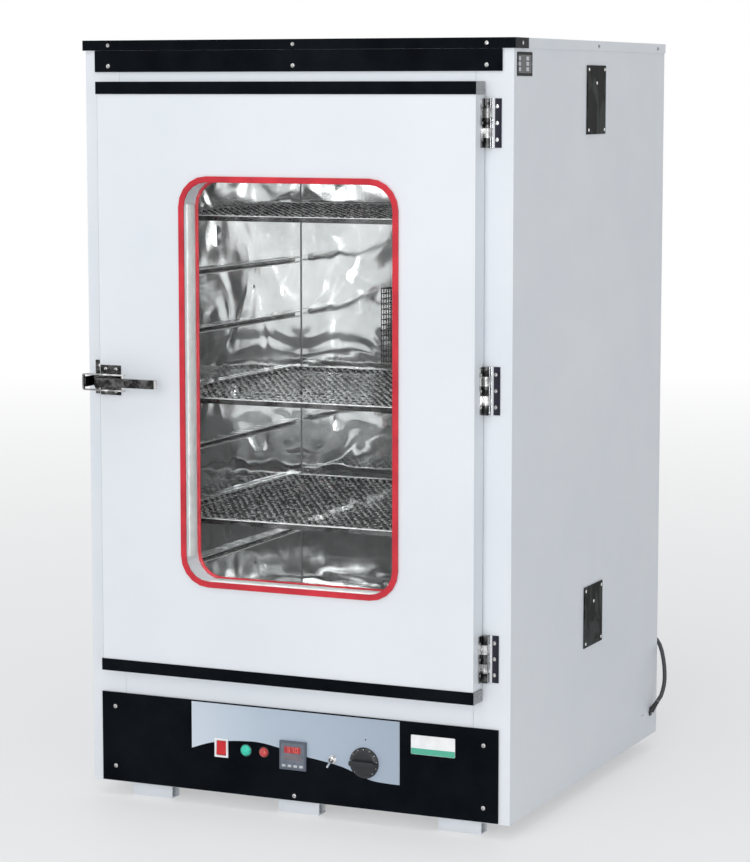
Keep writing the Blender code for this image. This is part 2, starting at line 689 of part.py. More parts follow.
def control_panel(cabinet):
    half = HALF_WIDTH - PANEL_INSET
    low = BASE + PANEL_BOTTOM
    z = CONTROL_Z
    rocker_a = ROCKER_FRAME_WIDTH / 2 - ROCKER_RIM + GAP
    rocker_b = ROCKER_FRAME_HEIGHT / 2 - ROCKER_RIM + GAP
    meter = METER_BODY / 2 + GAP
    holes = [
        rectangle(ROCKER_X - rocker_a, ROCKER_X + rocker_a, z - rocker_b, z + rocker_b),
        rectangle(METER_X - meter, METER_X + meter, z - meter, z + meter),
        circle(TOGGLE_X, z, TOGGLE_BUSH_RADIUS + GAP * 2),
        circle(KNOB_X, z, KNOB_SHAFT + GAP * 2),
    ]
    holes += [circle(x, z, LAMP_BODY_RADIUS + GAP * 2) for x in (GREEN_LAMP[0], RED_LAMP[0])]
    bm = bmesh.new()
    outline = rectangle(-half, half, low, low + PANEL_HEIGHT)
    add_prism(bm, "Y", [outline, *holes], PANEL_FACE, PANEL_BACK)
    piece("control_panel", bm, BLACK, cabinet)


def chamber_wall(name, side, cabinet):
    """A side sheet of the chamber with its lip across the front. The shelf rails are spot-welded to
    it: channels with their open side to the chamber."""
    face = side * CHAMBER_SIDE
    outside = side * (CHAMBER_SIDE + SHEET)
    lip = side * (CHAMBER_SIDE + CHAMBER_LIP)
    back = CHAMBER_DEPTH + SHEET
    profile = [(face, 0), (lip, 0), (lip, SHEET), (outside, SHEET), (outside, back), (face, back)]
    bm = bmesh.new()
    add_prism(bm, "Z", [profile], CHAMBER_LOW - SHEET, CHAMBER_HIGH + SHEET)
    made = piece(name, bm, STAINLESS, cabinet)
    rails = bmesh.new()
    wall = side * (CHAMBER_SIDE + SHEET / 2)
    web = side * (CHAMBER_SIDE - RAIL_SHEET)
    edge = side * (CHAMBER_SIDE - RAIL_REACH)
    for number in range(RAIL_COUNT):
        high = rail_top(number)
        low = high - RAIL_HEIGHT
        profile = [(wall, low), (edge, low), (edge, low + RAIL_SHEET), (web, low + RAIL_SHEET)]
        profile += [(web, high - RAIL_SHEET), (edge, high - RAIL_SHEET), (edge, high), (wall, high)]
        add_prism(rails, "Y", [profile], RAIL_FRONT, RAIL_FRONT + RAIL_LENGTH)
    combine(made, guide(name + "_rails", rails, cabinet), "UNION")


def rail_top(number):
    return CHAMBER_LOW + RAIL_FIRST + number * RAIL_PITCH


def chamber_level(name, face, up, cabinet):
    """The chamber's floor or roof. Its lip also closes the two corners of the front."""
    wide = CHAMBER_SIDE - GAP
    outside = face + up * SHEET
    lip = face + up * CHAMBER_LIP
    corner = outside + up * GAP
    back = CHAMBER_DEPTH - GAP
    bm = bmesh.new()
    add_box(bm, (-wide, 0, min(face, outside)), (wide, back, max(face, outside)))
    made = piece(name, bm, STAINLESS, cabinet)
    full = CHAMBER_SIDE + CHAMBER_LIP
    outline = [(-wide, face), (wide, face), (wide, corner), (full, corner), (full, lip)]
    outline += [(-full, lip), (-full, corner), (-wide, corner)]
    bm = bmesh.new()
    add_prism(bm, "Y", [outline], 0, SHEET)
    combine(made, guide(name + "_lip", bm, cabinet), "UNION")


def chamber_back(cabinet):
    wide = CHAMBER_SIDE - GAP
    z = FAN_Z
    ends = heater_ends()
    holes = [circle(0, z, SHAFT_RADIUS + 4 * GAP)]
    holes += [circle(end.x, end.z, HEATER_TUBE + 2 * GAP, 8) for end in ends]
    outline = rectangle(-wide, wide, CHAMBER_LOW + GAP, CHAMBER_HIGH - GAP)
    bm = bmesh.new()
    add_prism(bm, "Y", [outline, *holes], CHAMBER_DEPTH, CHAMBER_DEPTH + SHEET)
    piece("chamber_back_wall", bm, STAINLESS, cabinet)


def wool_jacket(cabinet):
    """Glass wool round the chamber's five closed sides, with a well for the fan's motor."""
    wide = HALF_WIDTH - SHEET - 2 * GAP
    rear = CABINET_DEPTH - 2 * SHEET - 3 * GAP
    outer = ((-wide, WOOL_FRONT, CHAMBER_LOW - WOOL_BELOW), (wide, rear, CHAMBER_HIGH + WOOL_ABOVE))
    side = CHAMBER_SIDE + SHEET + GAP
    low = CHAMBER_LOW - SHEET - GAP
    high = CHAMBER_HIGH + SHEET + GAP
    inner = ((-side, WOOL_FRONT, low), (side, CHAMBER_DEPTH + SHEET + GAP, high))
    bm = bmesh.new()
    add_tray(bm, outer, inner, "Y", open_high=False)
    made = piece("glass_wool_jacket", bm, WOOL, cabinet)
    well = bmesh.new()
    start = Vector((0, CHAMBER_DEPTH, FAN_Z))
    end = Vector((0, CABINET_DEPTH, FAN_Z))
    add_rod(well, start, end, HEATER_RADIUS + HEATER_TUBE + WELL_CLEARANCE)
    combine(made, guide("motor_well", well, cabinet), "DIFFERENCE")


def add_lattice(bm, width, height, cells, bar):
    """A flat rectangle of sheet in XY with rows of rectangular holes."""
    bmesh.ops.create_grid(bm, x_segments=cells, y_segments=cells, size=0.5)
    corners = set(bm.verts)
    bmesh.ops.transform(bm, matrix=Matrix.Diagonal((width, height, 1, 1)), verts=bm.verts)
    bmesh.ops.inset_individual(bm, faces=bm.faces, thickness=bar / 2, use_even_offset=True)
    holes = [face for face in bm.faces if not corners.intersection(face.verts)]
    bmesh.ops.delete(bm, geom=holes, context="FACES_ONLY")


def thicken(target, thickness):
    step = target.modifiers.new("sheet", "SOLIDIFY")
    step.thickness = thickness
    step.offset = -1
    step.use_even_offset = True


def shelf(name, level, cabinet):
    """A perforated sheet lying on its rails, with a skirt folded down at the front and the back."""
    width = CHAMBER_WIDTH - 2 * (GAP + SHELF_SIDE_GAP)
    bm = bmesh.new()
    add_lattice(bm, width, SHELF_DEPTH, SHELF_CELLS, SHELF_BAR)
    high = rail_top(level) + GAP + SHELF_SHEET
    place = Vector((0, SHELF_FRONT + SHELF_DEPTH / 2, high))
    bmesh.ops.translate(bm, vec=place, verts=bm.verts)
    made = sheet_piece(name, bm, STAINLESS, cabinet)
    thicken(made, SHELF_SHEET)
    skirts = bmesh.new()
    half = CHAMBER_SIDE - RAIL_REACH - SHELF_SKIRT_GAP
    for front in (SHELF_FRONT, SHELF_FRONT + SHELF_DEPTH - SHELF_SHEET):
        low = (-half, front, high - SHELF_SKIRT)
        add_box(skirts, low, (half, front + SHELF_SHEET, high - SHELF_SHEET / 2))
    combine(made, guide(name + "_skirts", skirts, cabinet), "UNION")


def fan_guard(cabinet):
    """A perforated box over the fan and the heater, open to the back wall."""
    bm = bmesh.new()
    add_lattice(bm, GUARD_WIDTH, GUARD_HEIGHT, GUARD_CELLS, GUARD_BAR)
    border = [edge for edge in bm.edges if edge.is_boundary and on_border(edge)]
    grown = bmesh.ops.extrude_edge_only(bm, edges=border)
    lowered = [part for part in grown["geom"] if isinstance(part, bmesh.types.BMVert)]
    bmesh.ops.translate(bm, vec=(0, 0, GAP - GUARD_DEPTH), verts=lowered)
    turn = Matrix.Rotation(90 * DEG, 4, "X")
    place = Matrix.Translation((0, CHAMBER_DEPTH - GUARD_DEPTH, FAN_Z))
    bmesh.ops.transform(bm, matrix=place @ turn, verts=bm.verts)
    face_towards(bm, Vector((0, -1, 0)))
    thicken(sheet_piece("fan_guard", bm, STAINLESS, cabinet), SHELF_SHEET)


def on_border(edge):
    middle = (edge.verts[0].co + edge.verts[1].co) / 2
    return abs(middle.x) > GUARD_WIDTH / 2 - GAP or abs(middle.y) > GUARD_HEIGHT / 2 - GAP


def face_towards(bm, way):
    """Points a sheet's faces one way, going by its largest face."""
    bmesh.ops.recalc_face_normals(bm, faces=bm.faces)
    level = [face for face in bm.faces if abs(face.normal.dot(way)) > 0.9]
    if max(level, key=lambda face: face.calc_area()).normal.dot(way) < 0:
        bmesh.ops.reverse_faces(bm, faces=bm.faces)


def fan(cabinet, wheel_body):
    rear = CHAMBER_DEPTH - FAN_WALL_GAP
    front = rear - FAN_THICKNESS
    motor_face = CHAMBER_DEPTH + SHEET + GAP
    shaft_end = motor_face + SHAFT_INTO_MOTOR
    length = shaft_end - front
    bm = bmesh.new()
    profile = [(0, 0), (0, FAN_HUB_RADIUS), (FAN_THICKNESS, FAN_HUB_RADIUS)]
    profile += [(FAN_THICKNESS, SHAFT_RADIUS), (length, SHAFT_RADIUS), (length, 0)]
    add_turned(bm, (0, front, FAN_Z), (0, 1, 0), profile)
    wheel = piece("fan_wheel", bm, STAINLESS, wheel_body, smooth=True)

    blades = bmesh.new()
    middle = Vector((0, (front + rear) / 2, FAN_Z))
    for number in range(FAN_BLADES):
        blade = bmesh.new()
        add_box(blade, (-FAN_BLADE_WIDTH / 2, -FAN_BLADE_SHEET / 2, FAN_HUB_RADIUS / 2),
                (FAN_BLADE_WIDTH / 2, FAN_BLADE_SHEET / 2, FAN_RADIUS))
        pitch = Matrix.Rotation(FAN_BLADE_PITCH, 4, "Z")
        turn = Matrix.Rotation(math.tau * number / FAN_BLADES, 4, "Y")
        bmesh.ops.transform(blade, matrix=Matrix.Translation(middle) @ turn @ pitch, verts=blade.verts)
        mesh = bpy.data.meshes.new("blade")
        blade.to_mesh(mesh)
        blade.free()
        blades.from_mesh(mesh)
        bpy.data.meshes.remove(mesh)
    combine(wheel, guide("blades", blades, wheel_body), "UNION", own_shells=True)

    bore = SHAFT_RADIUS + GAP * 1.5
    deep = SHAFT_INTO_MOTOR + GAP
    profile = [(deep, 0), (deep, bore), (0, bore), (0, MOTOR_FLANGE_RADIUS)]
    profile += [(MOTOR_FLANGE, MOTOR_FLANGE_RADIUS), (MOTOR_FLANGE, MOTOR_RADIUS)]
    profile += [(MOTOR_LENGTH, MOTOR_RADIUS), (MOTOR_LENGTH, 0)]
    bm = bmesh.new()
    add_turned(bm, (0, motor_face, FAN_Z), (0, 1, 0), profile)
    piece("fan_motor", bm, ZINC, cabinet, smooth=True)


def heater_ends():
    y = CHAMBER_DEPTH - HEATER_WALL_GAP
    ends = []
    for side in (-1, 1):
        angle = -math.pi / 2 + side * HEATER_OPENING
        x = HEATER_RADIUS * math.cos(angle)
        ends.append(Vector((x, y, FAN_Z + HEATER_RADIUS * math.sin(angle))))
    return ends


def heater(cabinet):
    """A round tubular element behind the guard. Its two tails go out through the back wall."""
    y = CHAMBER_DEPTH - HEATER_WALL_GAP
    steps = 28
    start = -math.pi / 2 + HEATER_OPENING
    sweep = math.tau - 2 * HEATER_OPENING
    ring = []
    for step in range(steps + 1):
        angle = start + sweep * step / steps
        x = HEATER_RADIUS * math.cos(angle)
        ring.append(Vector((x, y, FAN_Z + HEATER_RADIUS * math.sin(angle))))
    tail = Vector((0, HEATER_TAIL, 0))
    ends = [ring[0] + tail, *ring, ring[-1] + tail]
    wire("heater_element", ends, HEATER_TUBE, ZINC, cabinet)


def rocker_switch(cabinet, rocker_body):
    half_a = ROCKER_FRAME_WIDTH / 2
    half_b = ROCKER_FRAME_HEIGHT / 2
    face = PANEL_FACE - GAP - ROCKER_FRAME_PROUD
    back = PANEL_FACE - GAP
    rear = ROCKER_BODY_DEPTH
    x = ROCKER_X
    z = CONTROL_Z
    bm = bmesh.new()
    add_box(bm, (x - half_a, face, z - half_b), (x + half_a, back, z + half_b))
    frame = piece("rocker_frame", bm, WHITE_PLASTIC, cabinet)
    rim_a = half_a - ROCKER_RIM
    rim_b = half_b - ROCKER_RIM
    bm = bmesh.new()
    add_box(bm, (x - rim_a, face + MM, z - rim_b), (x + rim_a, rear, z + rim_b))
    combine(frame, guide("rocker_box", bm, cabinet), "UNION")
    bm = bmesh.new()
    room_a = ROCKER_WIDTH / 2 + GAP
    room_b = ROCKER_HEIGHT / 2 + 3 * GAP
    add_box(bm, (x - room_a, face - CUT, z - room_b), (x + room_a, rear - ROCKER_RIM, z + room_b))
    combine(frame, guide("rocker_room", bm, cabinet), "DIFFERENCE")

    pivot = PIVOTS[rocker_body.name]
    bm = bmesh.new()
    half_b = ROCKER_HEIGHT / 2
    front = -ROCKER_THICKNESS / 2
    back = ROCKER_THICKNESS / 2
    narrow = half_b * 0.8
    profile = [(front, -half_b), (front + ROCKER_DISH, 0), (front, half_b)]
    profile += [(back, narrow), (ROCKER_THICKNESS, 0), (back, -narrow)]
    add_prism(bm, "X", [profile], -ROCKER_WIDTH / 2, ROCKER_WIDTH / 2)
    turn = Matrix.Rotation(-ROCKER_TILT, 4, "X")
    bmesh.ops.transform(bm, matrix=Matrix.Translation(pivot) @ turn, verts=bm.verts)
    piece("rocker_key", bm, RED_PLASTIC, rocker_body)


def indicator_lamp(name, lamp, finish, cabinet):
    x, lens = lamp
    start = LAMP_BODY_DEPTH
    crown = start + LAMP_PROUD
    profile = [(0, 0), (0, LAMP_BODY_RADIUS), (start, LAMP_BODY_RADIUS), (start, lens)]
    profile += [(start + LAMP_PROUD * 0.5, lens), (start + LAMP_PROUD * 0.8, lens * 0.8)]
    profile += [(crown, lens * 0.4), (crown, 0)]
    bm = bmesh.new()
    add_turned(bm, (x, PANEL_FACE - GAP + LAMP_BODY_DEPTH, CONTROL_Z), (0, -1, 0), profile)
    piece(name, bm, finish, cabinet, smooth=True)


def key_places():
    first = METER_X - KEY_PITCH * (KEY_COUNT - 1) / 2
    return [first + KEY_PITCH * number for number in range(KEY_COUNT)]


def temperature_controller(cabinet):
    face = PANEL_FACE - GAP - METER_PROUD
    back = PANEL_FACE - GAP
    half = METER_SIZE / 2
    x = METER_X
    z = CONTROL_Z
    bm = bmesh.new()
    add_box(bm, (x - half, face, z - half), (x + half, back, z + half))
    made = piece("temperature_controller", bm, GREY_PLASTIC, cabinet)
    half = METER_BODY / 2
    bm = bmesh.new()
    add_box(bm, (x - half, back - MM, z - half), (x + half, METER_BODY_DEPTH, z + half))
    combine(made, guide("controller_case", bm, cabinet), "UNION")
    pockets = bmesh.new()
    a = KEY_WIDTH / 2 + GAP
    b = KEY_HEIGHT / 2 + GAP
    for spot in key_places():
        low = (spot - a, face - CUT, z - KEY_DROP - b)
        add_box(pockets, low, (spot + a, face + KEY_POCKET, z - KEY_DROP + b))
    combine(made, guide("key_pockets", pockets, cabinet), "DIFFERENCE")


def controller_keys(cabinet):
    face = PANEL_FACE - GAP - METER_PROUD
    z = CONTROL_Z - KEY_DROP
    for number, x in enumerate(key_places(), 1):
        pivot = (x, face, z)
        carrier = body(f"key_{number}_slide", pivot, cabinet)
        bm = bmesh.new()
        low = (x - KEY_WIDTH / 2, face - KEY_PROUD, z - KEY_HEIGHT / 2)
        rear = face + KEY_POCKET - KEY_TRAVEL - GAP
        add_box(bm, low, (x + KEY_WIDTH / 2, rear, z + KEY_HEIGHT / 2))
        soften(piece(f"controller_key_{number}", bm, PALE_PLASTIC, carrier), 0.4 * MM)


def toggle_pivot():
    mouth = PANEL_FACE - GAP - TOGGLE_NUT - TOGGLE_BUSH
    return Vector((TOGGLE_X, mouth + TOGGLE_SINK, CONTROL_Z))


def toggle_switch(cabinet, lever_body):
    rear = TOGGLE_BODY_DEPTH
    mouth = PANEL_FACE - GAP - TOGGLE_NUT - TOGGLE_BUSH
    nut = PANEL_FACE - GAP - TOGGLE_NUT
    bore_end = toggle_pivot().y + TOGGLE_BALL + 2 * GAP
    bore = TOGGLE_BALL + TOGGLE_BALL_ROOM
    bush = TOGGLE_BUSH_RADIUS
    case = TOGGLE_BODY * 0.6
    steps = ((bore_end, 0), (bore_end, bore), (mouth, bore), (mouth, bush), (nut, bush),
             (nut, TOGGLE_NUT_RADIUS), (nut + TOGGLE_NUT, TOGGLE_NUT_RADIUS), (nut + TOGGLE_NUT, bush),
             (PANEL_BACK + GAP, bush), (PANEL_BACK + GAP, case), (rear, case), (rear, 0))
    profile = [(y - mouth, radius) for y, radius in steps]
    bm = bmesh.new()
    add_turned(bm, (TOGGLE_X, mouth, CONTROL_Z), (0, 1, 0), profile, 12)
    piece("toggle_switch_body", bm, CHROME, cabinet, smooth=True)

    pivot = toggle_pivot()
    aim = Vector((0, -math.cos(TOGGLE_TILT), -math.sin(TOGGLE_TILT)))
    ball = TOGGLE_BALL
    profile = [(-ball, 0), (-0.7 * ball, 0.7 * ball), (0, ball), (0.5 * ball, 0.8 * ball)]
    profile += [(ball, 0.45 * ball), (TOGGLE_LEVER * 0.8, 0.62 * ball)]
    profile += [(TOGGLE_LEVER * 0.94, 0.6 * ball), (TOGGLE_LEVER, 0)]
    bm = bmesh.new()
    add_turned(bm, pivot, aim, profile, 10)
    piece("toggle_lever", bm, CHROME, lever_body, smooth=True)


def control_knob(knob_body):
    """A round knob with a grip bar, on a shaft that goes through the panel."""
    back = PANEL_FACE - 2 * GAP
    front = back - KNOB_THICKNESS
    shaft = back + PANEL_THICKNESS + KNOB_SHAFT_DEPTH
    bm = bmesh.new()
    profile = [(0, 0), (0, KNOB_RADIUS - MM), (MM, KNOB_RADIUS), (KNOB_THICKNESS, KNOB_RADIUS)]
    profile += [(KNOB_THICKNESS, KNOB_SHAFT), (shaft - front, KNOB_SHAFT), (shaft - front, 0)]
    add_turned(bm, (KNOB_X, front, CONTROL_Z), (0, 1, 0), profile, 24)
    knob = piece("control_knob", bm, BLACK_PLASTIC, knob_body, smooth=True)
    grip = bmesh.new()
    half = KNOB_RADIUS - 2 * MM
    tall = KNOB_GRIP_WIDTH / 2
    low = (KNOB_X - half, front - KNOB_GRIP_HEIGHT, CONTROL_Z - tall)
    add_box(grip, low, (KNOB_X + half, front + MM, CONTROL_Z + tall))
    combine(knob, guide("knob_grip", grip, knob_body), "UNION")


def door_pans(door):
    rim = -DOOR_SEAL_GAP
    face = -DOOR_FRONT
    thick = SHEET
    outer = ((DOOR_LEFT, face, DOOR_LOW), (DOOR_RIGHT, rim, DOOR_HIGH))
    inner = ((DOOR_LEFT + thick, face + thick, DOOR_LOW + thick),
             (DOOR_RIGHT - thick, rim, DOOR_HIGH - thick))
    bm = bmesh.new()
    add_tray(bm, outer, inner, "Y", open_high=True)
    made = piece("door_outer_pan", bm, PAINT, door)
    tube_end = PLUG_REACH - SHEET - GAP
    bm = bmesh.new()
    add_prism(bm, "Y", [window(SHEET)], face + SHEET / 2, tube_end)
    combine(made, guide("window_tube", bm, door), "UNION")
    bm = bmesh.new()
    add_prism(bm, "Y", [window()], face - CUT, PLUG_REACH + CUT)
    cutter = guide("window_opening", bm, door)
    combine(made, cutter, "DIFFERENCE")

    left = DOOR_LEFT + SHEET + GAP
    right = DOOR_RIGHT - SHEET - GAP
    low = DOOR_LOW + SHEET + GAP
    high = DOOR_HIGH - SHEET - GAP
    side = CHAMBER_SIDE - PLUG_CLEARANCE
    plug_low = CHAMBER_LOW + PLUG_CLEARANCE
    plug_high = CHAMBER_HIGH - PLUG_CLEARANCE
    bm = bmesh.new()
    loops = []
    steps = ((left, right, low, high, rim), (-side, side, plug_low, plug_high, rim),
             (-side, side, plug_low, plug_high, PLUG_REACH))
    for one, two, three, four, level in steps:
        loops.append([bm.verts.new((a, level, b)) for a, b in rectangle(one, two, three, four)])
    for outside, inside in zip(loops, loops[1:]):
        for corner in range(4):
            after = (corner + 1) % 4
            bm.faces.new((outside[corner], outside[after], inside[after], inside[corner]))
    bm.faces.new(loops[-1])
    face_towards(bm, Vector((0, 1, 0)))
    pan = sheet_piece("door_inner_pan", bm, STAINLESS, door)
    thicken(pan, SHEET)
    combine(pan, cutter, "DIFFERENCE")


def sheet_piece(name, bm, finish, parent):
    """Like piece, for an open sheet whose faces already point the right way."""
    bmesh.ops.translate(bm, vec=-PIVOTS[parent.name], verts=bm.verts)
    mesh = bpy.data.meshes.new(name)
    bm.to_mesh(mesh)
    bm.free()
    mesh.materials.append(material(finish))
    made = bpy.data.objects.new(name, mesh)
    bpy.context.collection.objects.link(made)
    made.parent = parent
    return made


def door_seal(door):
    inside = SEAL_INSET
    outside = SEAL_INSET + SEAL_WIDTH
    loops = []
    for grow in (outside, inside):
        width = CHAMBER_WIDTH + 2 * grow
        height = CHAMBER_HEIGHT + 2 * grow
        loops.append(rounded(0, CHAMBER_MIDDLE, width, height, grow + SEAL_CORNER, 3))
    bm = bmesh.new()
    add_prism(bm, "Y", loops, GAP - DOOR_SEAL_GAP, -GAP)
    piece("door_seal", bm, GREY_RUBBER, door)


def window_glazing(door):
    """Two panes, each held in the door by a red rubber bead."""
    faces = (("outer_pane", -DOOR_FRONT), ("inner_pane", PLUG_REACH - GLASS_THICKNESS))
    for name, front in faces:
        bm = bmesh.new()
        add_prism(bm, "Y", [window(-GAP)], front, front + GLASS_THICKNESS)
        piece(name, bm, GLASS, door)
    loops = [window(BEAD_OUTSIDE), window(-BEAD_INSIDE)]
    beads = (("outer_bead", -DOOR_FRONT - GAP - BEAD_THICKNESS), ("inner_bead", PLUG_REACH + GAP))
    for name, front in beads:
        bm = bmesh.new()
        add_prism(bm, "Y", loops, front, front + BEAD_THICKNESS)
        piece(name, bm, RED_RUBBER, door)


def door_strips(door):
    inside = GAP
    outside = GAP + STRIP_THICKNESS
    face = -DOOR_FRONT
    back = face + STRIP_WRAP
    left = DOOR_LEFT
    right = DOOR_RIGHT
    profile = [(left - outside, face - outside), (right + outside, face - outside)]
    profile += [(right + outside, back), (right + inside, back), (right + inside, face - inside)]
    profile += [(left - inside, face - inside), (left - inside, back), (left - outside, back)]
    strips = (("bottom_door_strip", DOOR_LOW), ("top_door_strip", DOOR_HIGH - STRIP_HEIGHT))
    for name, low in strips:
        bm = bmesh.new()
        add_prism(bm, "Z", [profile], low, low + STRIP_HEIGHT)
        piece(name, bm, BLACK, door)


def knuckle_spans(centre):
    """The knuckles of one hinge from bottom to top, as (low, high)."""
    length = HINGE_HEIGHT / KNUCKLES
    low = centre - HINGE_HEIGHT / 2
    spans = []
    for number in range(KNUCKLES):
        start = low + number * length
        spans.append((start + GAP / 2, start + length - GAP / 2))
    return spans


def hinge(place, centre, cabinet, door):
    """A butt hinge set in the corner between the door's edge and the frame. The frame leaf has the
    pin and the first, third and fifth knuckle, and the door leaf the two between."""
    back = HINGE_Y + KNUCKLE_RADIUS
    side = HINGE_X - KNUCKLE_RADIUS
    spans = knuckle_spans(centre)
    low = spans[0][0]
    high = spans[-1][1]
    notch = KNUCKLE_RADIUS + GAP
    frame = bmesh.new()
    reach = (HINGE_X, HINGE_X + FRAME_LEAF_REACH)
    add_leaf(frame, spans, 0, reach, notch, (back - LEAF_THICKNESS, back), "Y")
    frame = piece(place + "_hinge_frame_leaf", frame, CHROME, cabinet)
    barrels = bmesh.new()
    for start, end in spans[0::2]:
        add_rod(barrels, (HINGE_X, HINGE_Y, start), (HINGE_X, HINGE_Y, end), KNUCKLE_RADIUS)
    combine(frame, guide(place + "_frame_knuckles", barrels, cabinet), "UNION")
    pin = bmesh.new()
    add_rod(pin, (HINGE_X, HINGE_Y, low + GAP), (HINGE_X, HINGE_Y, high - GAP), PIN_RADIUS, 10)
    combine(frame, guide(place + "_pin", pin, cabinet), "UNION")

    leaf = bmesh.new()
    reach = (HINGE_Y, HINGE_Y - DOOR_LEAF_REACH)
    add_leaf(leaf, spans, 1, reach, -notch, (side, side + LEAF_THICKNESS), "X")
    leaf = piece(place + "_hinge_door_leaf", leaf, CHROME, door)
    barrels = bmesh.new()
    for start, end in spans[1::2]:
        add_rod(barrels, (HINGE_X, HINGE_Y, start), (HINGE_X, HINGE_Y, end), KNUCKLE_RADIUS)
    combine(leaf, guide(place + "_door_knuckles", barrels, door), "UNION")
    bore = bmesh.new()
    radius = PIN_RADIUS + HINGE_PIN_CLEARANCE
    add_rod(bore, (HINGE_X, HINGE_Y, low), (HINGE_X, HINGE_Y, high), radius, 10)
    combine(leaf, guide(place + "_pin_bore", bore, door), "DIFFERENCE")


def add_leaf(bm, spans, first, reach, notch, thickness, axis):
    """A leaf's plate, cut back beside the other leaf's knuckles. Reach is from the pin outwards."""
    inner, outer = reach
    outline = []
    for number, (start, end) in enumerate(spans):
        mine = number % 2 == first
        low = start if mine else start - GAP
        high = end if mine else end + GAP
        edge = inner if mine else inner + notch
        if number == 0:
            low = start
        if number == len(spans) - 1:
            high = end
        outline += [(edge, low), (edge, high)]
    outline += [(outer, spans[-1][1]), (outer, spans[0][0])]
    add_prism(bm, axis, [outline], *thickness)


def latch_keeper(cabinet):
    """A plate on the stile with an arm that stands out from its edge, for the bail to pull on."""
    bm = bmesh.new()
    half = KEEPER_HEIGHT / 2
    back = -GAP
    right = KEEPER_LEFT + KEEPER_WIDTH
    add_box(bm, (KEEPER_LEFT, back - KEEPER_PLATE, LATCH_Z - half), (right, back, LATCH_Z + half))
    made = piece("latch_keeper", bm, CHROME, cabinet)
    arm = bmesh.new()
    half = KEEPER_ARM_HALF
    root = back - KEEPER_PLATE / 2
    tip = -KEEPER_ARM_REACH
    shoulder = tip + KEEPER_ARM_CHAMFER
    narrow = half - KEEPER_ARM_CHAMFER
    upper = [(root, half), (shoulder, half), (tip, narrow)]
    outline = [(y, LATCH_Z + z) for y, z in upper]
    outline += [(y, LATCH_Z - z) for y, z in reversed(upper)]
    add_prism(arm, "X", [outline], ARM_LEFT, ARM_LEFT + KEEPER_ARM_THICKNESS)
    combine(made, guide("keeper_arm", arm, cabinet), "UNION")


def latch_base(door):
    """The plate on the door with two ears that hold the lever's pin."""
    bm = bmesh.new()
    left = DOOR_LEFT + LATCH_BASE_SETBACK
    half = LATCH_BASE_HEIGHT / 2
    back = -DOOR_FRONT - GAP
    front = back - LATCH_PLATE
    add_box(bm, (left, front, LATCH_Z - half), (left + LATCH_BASE_WIDTH, back, LATCH_Z + half))
    made = piece("latch_base", bm, CHROME, door)
    ears = bmesh.new()
    root = front + LATCH_PLATE / 2
    tip = arc(LATCH_X, LATCH_Y, EAR_TIP, (190, 220, 250, 270, 290, 320, 350))
    outline = [(LATCH_X + EAR_WIDTH / 2, root), (LATCH_X - EAR_WIDTH / 2, root), *tip]
    for side in (-1, 1):
        inner = LATCH_Z + side * EAR_INSIDE
        outer = inner + side * EAR_THICKNESS
        add_prism(ears, "Z", [outline], min(inner, outer), max(inner, outer))
    combine(made, guide("latch_ears", ears, door), "UNION")
    bore = bmesh.new()
    tall = Vector((0, 0, 2 * EAR_INSIDE))
    pin = Vector((LATCH_X, LATCH_Y, LATCH_Z))
    add_rod(bore, pin - tall, pin + tall, LEVER_PIN + PIN_CLEARANCE, 12)
    combine(made, guide("ear_bores", bore, door), "DIFFERENCE")


def latch_lever(lever_body):
    """The handle that swings out from the door. Its pin turns in the base's ears."""
    face = LEVER_FACE
    back = face + LEVER_THICKNESS
    outline = arc(LATCH_X, LATCH_Y, LEVER_HEAD, (90, 120, 150, 180, 210, 240, 270))
    tip = LATCH_X + LEVER_LENGTH
    outline += [(tip - LEVER_TIP, face), (tip, face + LEVER_TIP), (tip, back - LEVER_TIP)]
    outline += [(tip - LEVER_TIP, back), (LATCH_X + 2 * LEVER_HEAD, back)]
    bm = bmesh.new()
    half = LEVER_HALF_HEIGHT
    add_prism(bm, "Z", [outline], LATCH_Z - half, LATCH_Z + half)
    made = piece("latch_lever", bm, CHROME, lever_body)
    pin = bmesh.new()
    spot = Vector((LATCH_X, LATCH_Y, LATCH_Z))
    reach = Vector((0, 0, EAR_INSIDE + EAR_THICKNESS + GAP))
    add_rod(pin, spot - reach, spot + reach, LEVER_PIN, 12)
    combine(made, guide("lever_pin", pin, lever_body), "UNION")
    bore = bmesh.new()
    spot = Vector((BAIL_X, BAIL_Y, LATCH_Z))
    reach = Vector((0, 0, 2 * half))
    add_rod(bore, spot - reach, spot + reach, BAIL_PIN + PIN_CLEARANCE, 12)
    combine(made, guide("bail_bore", bore, lever_body), "DIFFERENCE")


def latch_bail(bail_body):
    """A strap bent into a loop, closed by the pin that turns in the lever."""
    inner = BAIL_HALF_HEIGHT
    outer = inner + BAIL_THICKNESS
    right = BAIL_X + BAIL_WIDTH / 2
    left = BAIL_END - BAIL_THICKNESS
    turns = (180, 150, 120, 90)
    around = arc(left + BAIL_CORNER, outer - BAIL_CORNER, BAIL_CORNER, turns)
    small = BAIL_CORNER - BAIL_THICKNESS
    within = arc(BAIL_END + small, inner - small, small, turns)
    outside = [*around, (right, outer)]
    inside = [*within, (right, inner)]
    outline = [(x, -z) for x, z in reversed(outside)] + outside
    outline += [*reversed(inside)] + [(x, -z) for x, z in inside]
    outline = [(x, LATCH_Z + z) for x, z in outline]
    bm = bmesh.new()
    add_prism(bm, "Y", [outline], BAIL_Y - BAIL_WIDTH / 2, BAIL_Y + BAIL_WIDTH / 2)
    made = piece("latch_bail", bm, CHROME, bail_body)
    pin = bmesh.new()
    spot = Vector((BAIL_X, BAIL_Y, LATCH_Z))
    reach = Vector((0, 0, outer))
    add_rod(pin, spot - reach, spot + reach, BAIL_PIN, 12)
    combine(made, guide("bail_pin", pin, bail_body), "UNION")


